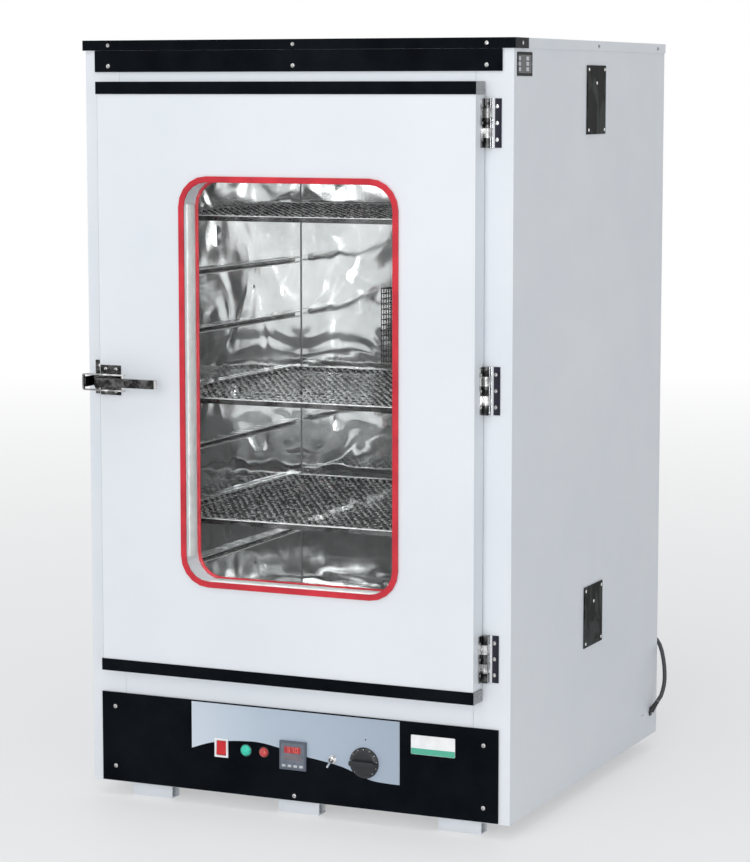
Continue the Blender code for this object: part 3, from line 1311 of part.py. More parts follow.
def side_cover(name, front, low, high, cabinet):
    face = HALF_WIDTH + GAP
    bm = bmesh.new()
    add_box(bm, (face, front, low), (face + COVER_THICKNESS, front + COVER_WIDTH, high))
    piece(name, bm, BLACK, cabinet)


def add_screw(bm, spot, direction):
    """A domed screw head standing on a face."""
    sink = Vector(direction) * -GAP
    radius = SCREW_RADIUS
    profile = [(0, 0), (0, radius), (SCREW_HEIGHT * 0.5, radius * 0.9), (SCREW_HEIGHT, radius * 0.45)]
    profile += [(SCREW_HEIGHT, 0)]
    add_turned(bm, Vector(spot) + sink, direction, profile, SCREW_SIDES)


def gland_spot():
    return Vector((HALF_WIDTH + GAP, GLAND_Y, BASE + GLAND_HEIGHT))


def gland_tip():
    return gland_spot() + Vector((GLAND_FLANGE / 2, 0, 0)) + GLAND_AIM * GLAND_LENGTH


def cord_gland(cabinet):
    """A flange on the side panel with a tapered sleeve that aims up and back."""
    spot = gland_spot()
    bm = bmesh.new()
    rim = GLAND_FLANGE_RADIUS
    profile = [(0, 0), (0, rim), (GLAND_FLANGE, rim * 0.85), (GLAND_FLANGE, 0)]
    add_turned(bm, spot, (1, 0, 0), profile, 12)
    made = piece("cord_gland", bm, BLACK_PLASTIC, cabinet, smooth=True)
    sleeve = bmesh.new()
    radius = LEAD_DIAMETER / 2
    root, waist, tip = (radius * share for share in GLAND_TAPER)
    profile = [(0, 0), (0, root), (GLAND_LENGTH * 0.6, waist), (GLAND_LENGTH, tip), (GLAND_LENGTH, 0)]
    start = spot + Vector((GLAND_FLANGE / 2, 0, 0))
    add_turned(sleeve, start, GLAND_AIM, profile, 12)
    trim = bmesh.new()
    reach = 2 * GLAND_FLANGE_RADIUS
    add_box(trim, spot - Vector((reach, reach, reach)), spot + Vector((0, reach, reach)))
    combine(made, guide("gland_sleeve", sleeve, cabinet), "UNION")
    combine(made, guide("gland_seat", trim, cabinet), "DIFFERENCE")


def smooth_route(points, spacing):
    """Points along a smooth curve that goes through all the given ones."""
    padded = [2 * points[0] - points[1], *points, 2 * points[-1] - points[-2]]
    route = []
    for a, b, c, d in zip(padded, padded[1:], padded[2:], padded[3:]):
        count = max(1, round((c - b).length / spacing))
        for step in range(count):
            t = step / count
            near = 2 * b + (c - a) * t
            far = (2 * a - 5 * b + 4 * c - d) * t ** 2 + (3 * b - a - 3 * c + d) * t ** 3
            route.append((near + far) / 2)
    route.append(points[-1])
    return route


def coil_centre():
    return Vector((COIL_X, CABINET_DEPTH + COIL_BEHIND, 0))


def lead_route():
    """The lead from the gland round the cabinet's rear edge, down behind it and along the floor to
    its coil, where it runs along the outer turn."""
    lying = LEAD_DIAMETER / 2 + GAP
    centre = coil_centre()
    outside = COIL_RADIUS + LEAD_DIAMETER * (COIL_COLUMNS + 1) / 2 + GAP
    side = centre.y - outside
    return [
        gland_tip() + GLAND_AIM * GAP,
        gland_tip() + GLAND_AIM * 1.5 * LEAD_DIAMETER,
        Vector((0.3972, 0.7095, 0.1160)),
        Vector((0.3955, 0.7170, 0.1360)),
        Vector((0.3895, 0.7270, 0.1590)),
        Vector((0.3785, 0.7390, 0.1820)),
        Vector((0.3620, 0.7490, 0.1950)),
        Vector((0.3425, 0.7540, 0.1930)),
        Vector((0.3255, 0.7565, 0.1700)),
        Vector((0.3125, 0.7575, 0.1300)),
        Vector((0.3000, 0.7578, 0.0850)),
        Vector((0.2840, side, 0.0460)),
        Vector((0.2620, side, 0.0200)),
        Vector((0.2340, side, 0.0070)),
        Vector((0.2050, side, lying)),
        Vector((0.1760, side, lying)),
        Vector((centre.x, side, lying)),
    ]


def mains_lead(cabinet):
    radius = LEAD_DIAMETER / 2
    route = smooth_route(lead_route(), 2.4 * LEAD_DIAMETER)
    wire("mains_lead", route, radius, CABLE, cabinet)

    centre = coil_centre()
    half = COIL_COLUMNS * LEAD_DIAMETER / 2
    tall = COIL_LAYERS * LEAD_DIAMETER
    corner = radius * 0.6
    inside = COIL_RADIUS - half
    outside = COIL_RADIUS + half
    section = [(GAP, inside + corner), (GAP, outside - corner), (GAP + corner, outside)]
    section += [(GAP + tall - corner, outside), (GAP + tall, outside - corner)]
    section += [(GAP + tall, inside + corner), (GAP + tall - corner, inside), (GAP + corner, inside)]
    bm = bmesh.new()
    add_ring(bm, centre, (0, 0, 1), section, 32)
    piece("lead_coil", bm, CABLE, cabinet, smooth=True)


def mains_plug(cabinet):
    """A three-pin plug lying beside the coil, where the top turn leaves it."""
    centre = coil_centre()
    level = GAP + (COIL_LAYERS - 0.5) * LEAD_DIAMETER
    line = COIL_RADIUS + LEAD_DIAMETER / 2
    outside = COIL_RADIUS + COIL_COLUMNS * LEAD_DIAMETER / 2 + GAP
    start = math.sqrt(outside ** 2 - (line - PLUG_SLEEVE_RADIUS) ** 2) + GAP
    y = centre.y - line
    near = centre.x - start
    far = near - PLUG_SLEEVE
    half = level - GAP
    bm = bmesh.new()
    outline = rounded(y, level, PLUG_WIDTH, 2 * half, PLUG_CORNER, 2)
    add_prism(bm, "X", [outline], far - PLUG_LENGTH, far + MM)
    made = piece("mains_plug", bm, BLACK_PLASTIC, cabinet)
    more = bmesh.new()
    sleeve = PLUG_SLEEVE + 2 * MM
    profile = [(0, 0), (0, PLUG_SLEEVE_RADIUS), (sleeve, PLUG_SLEEVE_RADIUS * 1.5), (sleeve, 0)]
    add_turned(more, (near, y, level), (-1, 0, 0), profile, 12)
    face = far - PLUG_LENGTH + MM
    for across, up, radius, length in PLUG_PINS:
        spot = Vector((face, y + across, level + up))
        add_rod(more, spot, spot - Vector((length, 0, 0)), radius, 10)
    combine(made, guide("plug_pins", more, cabinet), "UNION")


def build():
    clear_scene()
    cabinet = body("cabinet_body", (0, 0, 0))
    door = body("door_hinge", (HINGE_X, HINGE_Y, DOOR_LOW), cabinet)
    lever_body = body("lever_pivot", (LATCH_X, LATCH_Y, LATCH_Z), door)
    bail_body = body("bail_pivot", (BAIL_X, BAIL_Y, LATCH_Z), lever_body)
    rocker_y = PANEL_FACE - GAP - ROCKER_FRAME_PROUD + ROCKER_THICKNESS / 2
    rocker_body = body("rocker_pivot", (ROCKER_X, rocker_y, CONTROL_Z), cabinet)
    toggle_body = body("toggle_pivot", toggle_pivot(), cabinet)
    knob_body = body("knob_axis", (KNOB_X, PANEL_FACE, CONTROL_Z), cabinet)
    wheel_body = body("fan_axis", (0, CHAMBER_DEPTH, FAN_Z), cabinet)

    side_panel("left_side_panel", -1, cabinet)
    side_panel("right_side_panel", 1, cabinet)
    back_panel(cabinet)
    top_cover(cabinet)
    base_pan(cabinet)
    rail_low = BASE + PANEL_BOTTOM + PANEL_HEIGHT - RAIL_LAP
    front_rail("bottom_rail", rail_low, CHAMBER_LOW - CHAMBER_LIP - GAP, cabinet)
    front_rail("top_rail", CHAMBER_HIGH + CHAMBER_LIP + GAP, TOP - SHEET - GAP, cabinet)
    black_trim(cabinet)
    control_panel(cabinet)

    chamber_wall("chamber_left_wall", -1, cabinet)
    chamber_wall("chamber_right_wall", 1, cabinet)
    chamber_level("chamber_floor", CHAMBER_LOW, -1, cabinet)
    chamber_level("chamber_roof", CHAMBER_HIGH, 1, cabinet)
    chamber_back(cabinet)
    wool_jacket(cabinet)
    for name, level in SHELF_LEVELS.items():
        shelf(name, level, cabinet)
    fan_guard(cabinet)
    fan(cabinet, wheel_body)
    heater(cabinet)

    rocker_switch(cabinet, rocker_body)
    indicator_lamp("green_lamp", GREEN_LAMP, GREEN_LENS, cabinet)
    indicator_lamp("red_lamp", RED_LAMP, RED_PLASTIC, cabinet)
    temperature_controller(cabinet)
    controller_keys(cabinet)
    toggle_switch(cabinet, toggle_body)
    control_knob(knob_body)
    high = TOP - UPPER_COVER_DROP
    side_cover("upper_side_cover", UPPER_COVER_FRONT, high - UPPER_COVER_HEIGHT, high, cabinet)
    low = CHAMBER_LOW - LOWER_COVER_DROP
    side_cover("lower_side_cover", LOWER_COVER_FRONT, low, low + LOWER_COVER_HEIGHT, cabinet)

    door_pans(door)
    door_seal(door)
    window_glazing(door)
    door_strips(door)
    for place, centre in (("lower", HINGE_LOW), ("middle", HINGE_MIDDLE), ("upper", HINGE_HIGH)):
        hinge(place, centre, cabinet, door)
    latch_keeper(cabinet)
    latch_base(door)
    latch_lever(lever_body)
    latch_bail(bail_body)

    cord_gland(cabinet)
    mains_lead(cabinet)
    mains_plug(cabinet)
    cabinet.location.y = CABINET_Y


build()
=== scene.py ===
"""Looks of the bacteriological incubator: materials, small fittings, the mains lead, light and camera.

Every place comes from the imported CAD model, in its own frame: metres, +X to the object's right,
+Y to its back and +Z up.
"""
import json
import math

import bmesh
import bpy
from mathutils import Matrix, Vector

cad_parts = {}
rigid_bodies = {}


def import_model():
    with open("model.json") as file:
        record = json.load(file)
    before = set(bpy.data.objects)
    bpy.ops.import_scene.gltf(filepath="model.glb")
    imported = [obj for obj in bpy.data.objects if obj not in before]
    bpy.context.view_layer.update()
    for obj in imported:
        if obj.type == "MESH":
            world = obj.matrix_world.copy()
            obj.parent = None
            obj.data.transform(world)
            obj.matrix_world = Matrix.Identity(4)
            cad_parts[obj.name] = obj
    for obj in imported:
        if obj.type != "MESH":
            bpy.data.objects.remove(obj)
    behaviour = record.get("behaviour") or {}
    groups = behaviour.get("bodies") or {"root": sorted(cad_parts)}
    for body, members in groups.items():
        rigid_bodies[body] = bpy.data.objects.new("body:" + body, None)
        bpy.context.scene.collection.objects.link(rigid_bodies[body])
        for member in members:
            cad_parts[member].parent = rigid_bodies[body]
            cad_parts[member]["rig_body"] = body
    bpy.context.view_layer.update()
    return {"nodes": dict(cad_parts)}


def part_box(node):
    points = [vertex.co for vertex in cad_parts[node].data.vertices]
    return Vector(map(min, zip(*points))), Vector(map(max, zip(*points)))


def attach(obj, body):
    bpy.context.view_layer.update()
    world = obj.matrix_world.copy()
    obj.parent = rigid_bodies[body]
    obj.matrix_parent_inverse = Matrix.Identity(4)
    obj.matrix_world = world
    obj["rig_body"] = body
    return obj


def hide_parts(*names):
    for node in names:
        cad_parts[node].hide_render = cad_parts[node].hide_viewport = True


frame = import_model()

NODES = frame["nodes"]
MM = 0.001
DEG = math.radians(1)
FRONT = Vector((0, -1, 0))
BACK = Vector((0, 1, 0))
RIGHT = Vector((1, 0, 0))
LEFT = Vector((-1, 0, 0))
UP = Vector((0, 0, 1))
FLAT = Matrix.Identity(4)       # for shapes whose corners are given in the model's own frame
PANEL_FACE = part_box("control_panel")[0].y
PANEL_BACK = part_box("control_panel")[1].y


def linked(name, data):
    """A new object in the scene."""
    made = bpy.data.objects.new(name, data)
    bpy.context.scene.collection.objects.link(made)
    return made


# ---------------- camera

# The view that fits the cabinet's edges in the photograph.
LENS = 116.37
CAMERA_PLACE = (1.9514, -4.3358, 1.1818)
CAMERA_TILT = 83.033 * DEG
CAMERA_TURN = 24.251 * DEG


def make_camera():
    data = bpy.data.cameras.new("camera")
    data.lens = LENS
    data.sensor_width = 36
    data.sensor_fit = "AUTO"
    camera = linked("camera", data)
    camera.location = CAMERA_PLACE
    camera.rotation_euler = (CAMERA_TILT, 0, CAMERA_TURN)
    bpy.context.scene.camera = camera


# ---------------- mesh helpers

def finished(name, bm, material, body, smooth_angle=None):
    """Turns a bmesh in the model's frame into a piece that rides on a body."""
    bmesh.ops.recalc_face_normals(bm, faces=bm.faces)
    mesh = bpy.data.meshes.new(name)
    bm.to_mesh(mesh)
    bm.free()
    if smooth_angle:
        mesh.shade_smooth()
        mesh.set_sharp_from_angle(angle=smooth_angle * DEG)
    mesh.materials.append(material)
    piece = linked(name, mesh)
    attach(piece, body)
    return piece


def in_mm(*steps):
    """Pairs of measures in millimetres, turned into metres."""
    return [(one * MM, two * MM) for one, two in steps]


def placing(origin, direction, up=UP):
    """A matrix whose Z points along direction, for a fitting that stands on a face."""
    z = Vector(direction).normalized()
    x = Vector(up).cross(z)
    if x.length < 0.01:
        x = Vector((1, 0, 0)).cross(z)
    x.normalize()
    y = z.cross(x)
    turn = Matrix((x, y, z)).transposed().to_4x4()
    return Matrix.Translation(origin) @ turn


def add_lathe(bm, place, profile, sides=32):
    """Turns (height, radius) steps about the place's Z. A radius of 0 closes an end."""
    rings = []
    for height, radius in profile:
        if radius == 0:
            rings.append([bm.verts.new(place @ Vector((0, 0, height)))])
            continue
        turns = [math.tau * side / sides for side in range(sides)]
        spots = [Vector((radius * math.cos(t), radius * math.sin(t), height)) for t in turns]
        rings.append([bm.verts.new(place @ spot) for spot in spots])
    for one, two in zip(rings, rings[1:]):
        for side in range(sides):
            after = (side + 1) % sides
            if len(one) == 1 and len(two) == 1:
                continue
            if len(one) == 1:
                bm.faces.new((one[0], two[side], two[after]))
            elif len(two) == 1:
                bm.faces.new((one[side], one[after], two[0]))
            else:
                bm.faces.new((one[side], one[after], two[after], two[side]))


def add_bar(bm, start, end, radius, sides=6):
    """A straight round bar between two points."""
    line = Vector(end) - Vector(start)
    ends = ((0, 0), (0, radius), (line.length, radius), (line.length, 0))
    add_lathe(bm, placing(start, line), ends, sides)


def add_block(bm, place, low, high):
    """A box between two opposite corners."""
    low = Vector(low)
    high = Vector(high)
    size = Matrix.Diagonal((*(high - low), 1))
    bmesh.ops.create_cube(bm, size=1, matrix=place @ Matrix.Translation((low + high) / 2) @ size)


def add_plate(bm, place, outline, low, high):
    """Extrudes an outline of (x, y) points along the place's Z."""
    floor = [bm.verts.new(place @ Vector((x, y, low))) for x, y in outline]
    roof = [bm.verts.new(place @ Vector((x, y, high))) for x, y in outline]
    bm.faces.new(list(reversed(floor)))
    bm.faces.new(roof)
    for i in range(len(outline)):
        bm.faces.new((floor[i - 1], floor[i], roof[i], roof[i - 1]))


def add_filled(bm, loops):
    """Closes a hollow plate between its two equal loops of vertices, which may be concave."""
    one, two = loops
    for i in range(len(one)):
        bm.faces.new((one[i - 1], one[i], two[i], two[i - 1]))
    for loop in loops:
        edges = [bm.edges.get((loop[i - 1], loop[i])) for i in range(len(loop))]
        bmesh.ops.triangle_fill(bm, edges=edges, use_beauty=True)


def rounded(width, height, radius, steps=6):
    """The outline of a rectangle with round corners."""
    points = []
    for quarter, (right, up) in enumerate(((1, 1), (-1, 1), (-1, -1), (1, -1))):
        x = right * (width / 2 - radius)
        y = up * (height / 2 - radius)
        for step in range(steps + 1):
            turn = (quarter + step / steps) * math.pi / 2
            points.append((x + radius * math.cos(turn), y + radius * math.sin(turn)))
    return points


def bevel_edges(bm, width, segments=2, least_angle=30):
    bmesh.ops.recalc_face_normals(bm, faces=bm.faces)
    inner = [edge for edge in bm.edges if len(edge.link_faces) == 2]
    sharp = [edge for edge in inner if edge.calc_face_angle(0) > least_angle * DEG]
    bmesh.ops.bevel(bm, geom=sharp, offset=width, offset_type="OFFSET", segments=segments,
                    profile=0.5, affect="EDGES", clamp_overlap=True)


def refined(node, material, width, segments=2, smooth_angle=40, accents=()):
    """A copy of a CAD node with its edges rounded as on the real sheet or moulding.

    Each accent is a material and a test of a face's middle and normal. The last test that holds decides.
    """
    source = NODES[node]
    bm = bmesh.new()
    bm.from_mesh(source.data)
    bmesh.ops.remove_doubles(bm, verts=bm.verts, dist=0.00001)
    bmesh.ops.dissolve_limit(bm, angle_limit=1 * DEG, verts=bm.verts, edges=bm.edges)
    bevel_edges(bm, width, segments)
    bm.normal_update()
    for number, (accent, chosen) in enumerate(accents, 1):
        for face in bm.faces:
            if chosen(face.calc_center_median(), face.normal):
                face.material_index = number
    body = source["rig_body"]
    piece = finished(node + "_finished", bm, material, body, smooth_angle)
    for accent, _ in accents:
        piece.data.materials.append(accent)
    # Wide faces stay flat in the light, and only the rounded edges turn.
    step = piece.modifiers.new("flat_normals", "WEIGHTED_NORMAL")
    step.mode = "FACE_AREA"
    step.weight = 100
    step.keep_sharp = True
    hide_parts(node)
    return piece


# ---------------- materials

def fill(node, inputs):
    """Gives each input of a node a plain value, or a link from the socket that feeds it."""
    for name, value in inputs.items():
        if isinstance(value, bpy.types.NodeSocket):
            node.id_data.links.new(value, node.inputs[name])
        else:
            node.inputs[name].default_value = value


def add_node(tree, kind, inputs=None, **settings):
    """A new shader node, with what its inputs hold or are fed by and its other settings."""
    made = tree.nodes.new(kind)
    for key, value in settings.items():
        setattr(made, key, value)
    fill(made, inputs or {})
    return made


def calculated(tree, operation, *values):
    """The result of a Math node."""
    return add_node(tree, "ShaderNodeMath", dict(enumerate(values)), operation=operation).outputs[0]


def output_mix(tree, share, one, two, output="Material Output"):
    """Shows two shaders mixed by share."""
    mix = add_node(tree, "ShaderNodeMixShader", {0: share, 1: one, 2: two})
    fill(tree.nodes[output], {"Surface": mix.outputs[0]})


class Look:
    """A Principled material with the few nodes that each finish here is made of."""

    def __init__(self, name, colour, roughness, metallic=0.0):
        self.material = bpy.data.materials.new(name)
        self.material.use_nodes = True
        self.tree = self.material.node_tree
        self.shader = self.tree.nodes["Principled BSDF"]
        self.set("Base Color", (*colour, 1))
        self.set("Roughness", roughness)
        self.set("Metallic", metallic)
        self.place = self.node("ShaderNodeTexCoord").outputs["Object"]
        self.height = None

    def set(self, socket, value):
        fill(self.shader, {socket: value})

    def node(self, kind, inputs=None, **settings):
        return add_node(self.tree, kind, inputs, **settings)

    def axes(self):
        """A point's X, Y and Z, each in a socket of its own."""
        return self.node("ShaderNodeSeparateXYZ", {0: self.place}).outputs

    def noise(self, scale, detail=2.0, roughness=0.5, distortion=0.0, stretch=None):
        place = self.place
        if stretch:
            place = self.node("ShaderNodeMapping", {"Scale": stretch, "Vector": place}).outputs["Vector"]
        grain = {"Scale": scale, "Detail": detail, "Roughness": roughness, "Distortion": distortion}
        return self.node("ShaderNodeTexNoise", {"Vector": place, **grain}).outputs["Fac"]

    def spots(self, scale, smooth=True):
        inputs = {"Scale": scale, "Vector": self.place}
        feature = "SMOOTH_F1" if smooth else "F1"
        return self.node("ShaderNodeTexVoronoi", inputs, feature=feature).outputs["Distance"]

    def staggered(self, pitch_x, pitch_y, corner):
        """1 at the joints of a staggered mesh, -1 in the middle of its holes."""
        axes = self.axes()
        waves = []
        for axis, pitch, start in (("X", pitch_x, corner[0]), ("Y", pitch_y, corner[1])):
            often = math.tau / pitch
            turns = calculated(self.tree, "MULTIPLY_ADD", axes[axis], often, -start * often)
            waves.append(calculated(self.tree, "COSINE", turns))
        return calculated(self.tree, "MULTIPLY", *waves)

    def ramp(self, value, steps):
        """A ramp of places from 0 to 1 with their colours, or with one grey each."""
        made = self.node("ShaderNodeValToRGB", {"Fac": value})
        while len(made.color_ramp.elements) < len(steps):
            made.color_ramp.elements.new(0.5)
        for element, (spot, colour) in zip(made.color_ramp.elements, steps):
            element.position = spot
            element.color = (*colour, 1) if len(colour) == 3 else (colour[0],) * 3 + (1,)
        return made.outputs["Color"]

    def ranged(self, value, low, high, start=0.35, end=0.65):
        inputs = {"From Min": start, "From Max": end, "To Min": low, "To Max": high, "Value": value}
        return self.node("ShaderNodeMapRange", inputs).outputs["Result"]

    def colour(self, value, steps):
        self.set("Base Color", self.ramp(value, steps))

    def rough(self, value, low, high, start=0.35, end=0.65):
        self.set("Roughness", self.ranged(value, low, high, start, end))

    def bump(self, value, distance, strength=1.0):
        """Adds a layer of relief, in metres of height, over the ones before it."""
        inputs = {"Distance": distance, "Strength": strength, "Height": value}
        if self.height:
            inputs["Normal"] = self.height
        self.height = self.node("ShaderNodeBump", inputs).outputs["Normal"]
        self.set("Normal", self.height)


SHELF_RIM = 9 * MM
SHEET_INSET = 0.7 * SHELF_RIM   # from the rim's outer edge in to the mesh's edge
MESH_CELLS = (46, 26)           # holes across and along a shelf
LEAF_SPAN = (0.340, 0.3578)     # x along a hinge leaf on the stile, from the door's edge outwards
FOIL_SPAN = (-0.19, 0.19)       # x along the panel's printed sheet


def mesh_size(node):
    """A shelf's sheet between its rims: width, depth and the place of its first corner."""
    low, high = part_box(node)
    width = high.x - low.x - 2 * SHEET_INSET
    depth = high.y - low.y - 2 * SHEET_INSET
    return width, depth, ((low.x + high.x - width) / 2, (low.y + high.y - depth) / 2)


def white_paint():
    """Powder coat: faint orange peel, and slight shifts of tone as on a large sprayed sheet."""
    look = Look("powder_coat_white", (0.80, 0.83, 0.86), 0.38)
    look.colour(look.noise(3.5, 4), ((0.3, (0.775, 0.81, 0.85)), (0.7, (0.83, 0.86, 0.89))))
    look.rough(look.noise(22, 3), 0.30, 0.42)
    look.bump(look.noise(650, 2), 0.00004)
    look.bump(look.noise(4, 1), 0.0008, 0.5)
    return look.material


def mirror_steel():
    """Bright stainless sheet, bent by hand: shallow waves and a few dents that flare in the light."""
    look = Look("mirror_stainless_steel", (0.80, 0.82, 0.83), 0.10, 0.92)
    smudge = look.noise(7, 5, 0.6)
    look.colour(smudge, ((0.3, (0.68, 0.70, 0.71)), (0.5, (0.88, 0.89, 0.89)), (0.75, (0.97, 0.97, 0.97))))
    look.rough(smudge, 0.03, 0.12, 0.3, 0.7)
    look.bump(look.noise(3.4, 1.2, 0.4, 0.3), 0.0075)
    look.bump(look.noise(9, 1, 0.4, 1.2), 0.0022)
    look.bump(look.ramp(look.spots(5.5), ((0.0, (0,)), (0.10, (0.85,)), (0.22, (1,)))), 0.0022)
    look.bump(look.noise(420, 1, stretch=(1, 1, 0.04)), 0.00003)
    return look.material


def rolled_steel():
    """The chamber's floor and roof: satin stainless with long rolling marks, which spreads the light, and
    strong dark and bright patches painted as reflections.
    """
    look = Look("satin_stainless_steel", (0.9, 0.91, 0.91), 0.2, 0.75)
    marks = look.noise(5, 4, 0.6, 1.0, stretch=(1, 2.4, 1))
    # The very dark and very bright ends of this ramp are painted reflections, over the steel's own rolling
    # marks.
    look.colour(marks, ((0.38, (0.22, 0.23, 0.23)), (0.44, (0.80, 0.81, 0.81)), (0.52, (0.97, 0.98, 0.98))))
    look.rough(marks, 0.06, 0.24)
    look.bump(look.noise(6, 2, 0.5, 0.5), 0.014)
    return look.material


def brushed_steel():
    look = Look("brushed_stainless_steel", (0.60, 0.61, 0.62), 0.25, 1.0)
    grain = look.noise(900, 2, stretch=(0.03, 1, 1))
    look.colour(grain, ((0.3, (0.70, 0.71, 0.72)), (0.7, (0.86, 0.87, 0.88))))
    look.rough(look.noise(14, 3), 0.2, 0.34)
    look.bump(grain, 0.00005)
    look.bump(look.noise(7, 2), 0.004, 0.6)
    return look.material


def chrome_plate(name, dark, light, scale=60):
    """Plated fittings: soft patches of dark and light painted as reflections of a dim room, with fine
    scratches.
    """
    look = Look(name, (0.3, 0.3, 0.31), 0.14, 1.0)
    middle = (dark + light) / 2
    # Painted reflections: the dark and light patches in the colour stand in for the room mirrored in the
    # plate.
    painted_reflections = look.noise(scale, 2, 0.5, 0.8)
    look.colour(painted_reflections, ((0.40, (dark,)), (0.53, (middle,)), (0.64, (light,))))
    look.rough(look.noise(160, 3), 0.10, 0.24)
    look.bump(look.noise(90, 1), 0.0004, 0.5)
    look.bump(look.noise(2600, 1, stretch=(1, 1, 0.06)), 0.00002)
    return look.material


def leaf_steel():
    """A hinge leaf on the stile: a painted reflection of the door's edge, pale near the edge and dark beyond.
    """
    look = Look("hinge_leaf_steel", (0.1, 0.1, 0.1), 0.16, 1.0)
    across = look.ranged(look.axes()["X"], 0.0, 1.0, *LEAF_SPAN)
    pale = ((0.0, (0.78, 0.80, 0.82)), (0.36, (0.86, 0.88, 0.90)))
    dark = ((0.42, (0.045, 0.045, 0.06)), (1.0, (0.03, 0.03, 0.045)))
    look.colour(across, pale + dark)
    look.rough(look.noise(160, 3), 0.12, 0.26)
    look.bump(look.noise(90, 1), 0.0003, 0.5)
    return look.material


def expanded_steel():
    """The shelves' sheet: strands darkened with painted shade, with painted highlights where they meet
    between the holes and painted glint specks.
    """
    look = Look("expanded_steel_mesh", (0.3, 0.3, 0.3), 0.35, 0.7)
    glint_specks = look.noise(150, 2, 0.6)
    width, depth, corner = mesh_size("lower_shelf")
    joint_highlights = look.staggered(width / MESH_CELLS[0], depth / MESH_CELLS[1], corner)
    joint_highlights = look.ranged(joint_highlights, 0, 0.30, 0.0, 1)
    both = calculated(look.tree, "ADD", joint_highlights, look.ranged(glint_specks, 0, 0.70, 0.3, 0.7))
    tones = ((0.34, (0.02, 0.022, 0.024)), (0.50, (0.11, 0.115, 0.12)), (0.64, (0.94, 0.95, 0.95)))
    look.colour(both, tones)
    look.rough(glint_specks, 0.25, 0.45)
    look.bump(look.noise(900, 2), 0.0001)
    return look.material


def bright_steel():
    """Folded rims and rails, near white and half diffuse as a painted highlight along their whole length."""
    look = Look("folded_steel_painted_highlight", (0.88, 0.89, 0.89), 0.24, 0.45)
    streaks = look.noise(40, 3, 0.5)
    look.colour(streaks, ((0.3, (0.86, 0.87, 0.87)), (0.6, (0.98, 0.98, 0.98))))
    look.rough(streaks, 0.18, 0.32)
    look.bump(look.noise(30, 1), 0.0006, 0.5)
    return look.material


def zinc_sheet():
    look = Look("zinc_plated_sheet", (0.5, 0.5, 0.5), 0.4, 1.0)
    crystals = look.spots(70, smooth=False)
    look.colour(crystals, ((0.1, (0.42, 0.43, 0.45)), (0.6, (0.62, 0.63, 0.65))))
    look.rough(crystals, 0.3, 0.5, 0.1, 0.6)
    look.bump(look.noise(300, 2), 0.00006)
    return look.material


def black_acrylic():
    """Glossy black sheet with faint cloudy handling marks."""
    look = Look("black_acrylic_sheet", (0.008, 0.010, 0.014), 0.1)
    look.colour(look.noise(11, 5, 0.65), ((0.35, (0.0015, 0.0025, 0.0045)), (0.75, (0.006, 0.009, 0.012))))
    look.rough(look.noise(16, 5, 0.7), 0.06, 0.2)
    look.bump(look.noise(7, 1), 0.0006, 0.5)
    look.set("IOR", 1.2)
    look.set("Specular IOR Level", 0.2)
    return look.material


def cover_acrylic():
    """The side covers' thin sheet, bowed between its screws, with cloudy glare on the black."""
    look = Look("black_cover_sheet", (0.01, 0.01, 0.01), 0.12)
    cloud = look.noise(13, 2, 0.45, 1.6, stretch=(1, 1.6, 0.7))
    steps = ((0.50, (0.001, 0.0015, 0.002)), (0.515, (0.018, 0.021, 0.020)), (0.62, (0.036, 0.042, 0.040)))
    look.colour(cloud, steps)
    look.rough(cloud, 0.08, 0.2)
    look.bump(look.noise(16, 1), 0.0012, 0.6)
    look.set("IOR", 1.08)
    return look.material


def plastic(name, colour, roughness=0.38, grain=900, depth=0.00004):
    look = Look(name, colour, roughness)
    darker = tuple(part * 0.86 for part in colour)
    look.colour(look.noise(45, 4), ((0.35, darker), (0.65, colour)))
    look.rough(look.noise(90, 3), roughness * 0.85, roughness * 1.2)
    look.bump(look.noise(grain, 1), depth)
    return look.material


def silver_foil():
    """The panel's printed sheet, blue-grey, with a painted sheen that makes it pale at its left end."""
    look = Look("silver_grey_foil", (0.5, 0.58, 0.67), 0.36)
    across = look.ranged(look.axes()["X"], 0.0, 1.0, *FOIL_SPAN)
    look.colour(across, ((0.0, (0.66, 0.73, 0.80)), (0.35, (0.50, 0.585, 0.68)), (1.0, (0.40, 0.47, 0.56))))
    look.rough(look.noise(50, 3), 0.3, 0.42)
    look.bump(look.noise(1500, 1, stretch=(0.05, 1, 1)), 0.00002)
    return look.material


def red_rubber():
    look = Look("red_rubber_bead", (0.62, 0.02, 0.035), 0.42)
    look.colour(look.noise(24, 4), ((0.3, (0.50, 0.012, 0.026)), (0.7, (0.70, 0.028, 0.045))))
    look.rough(look.noise(60, 3), 0.32, 0.5)
    look.bump(look.noise(9, 2), 0.003, 0.7)
    look.bump(look.noise(1400, 1), 0.00004)
    return look.material


def window_glass():
    """Clear float glass, which lets the lamps' light straight through to the chamber."""
    look = Look("clear_window_glass", (0.985, 0.99, 0.99), 0.0)
    look.set("Transmission Weight", 1.0)
    look.set("IOR", 1.18)       # low, because the two panes would mirror the white studio as a veil
    look.bump(look.noise(2.2, 1), 0.00035)
    clear = look.node("ShaderNodeBsdfTransparent", {"Color": (0.97, 0.98, 0.98, 1)})
    path = look.node("ShaderNodeLightPath")
    output_mix(look.tree, path.outputs["Is Shadow Ray"], look.shader.outputs[0], clear.outputs[0])
    return look.material


def glass_wool():
    look = Look("glass_wool_fibre", (0.7, 0.6, 0.3), 0.95)
    fibre = look.noise(160, 6, 0.7, 2.5)
    look.colour(fibre, ((0.3, (0.52, 0.42, 0.16)), (0.7, (0.82, 0.73, 0.40))))
    look.bump(fibre, 0.002)
    return look.material


def lamp_lens(name, deep, bright):
    look = Look(name, bright, 0.16)
    look.colour(look.spots(420), ((0.1, bright), (0.7, deep)))
    look.set("Coat Weight", 0.5)
    look.rough(look.noise(200, 2), 0.1, 0.22)
    look.bump(look.spots(420), 0.0004)
    return look.material


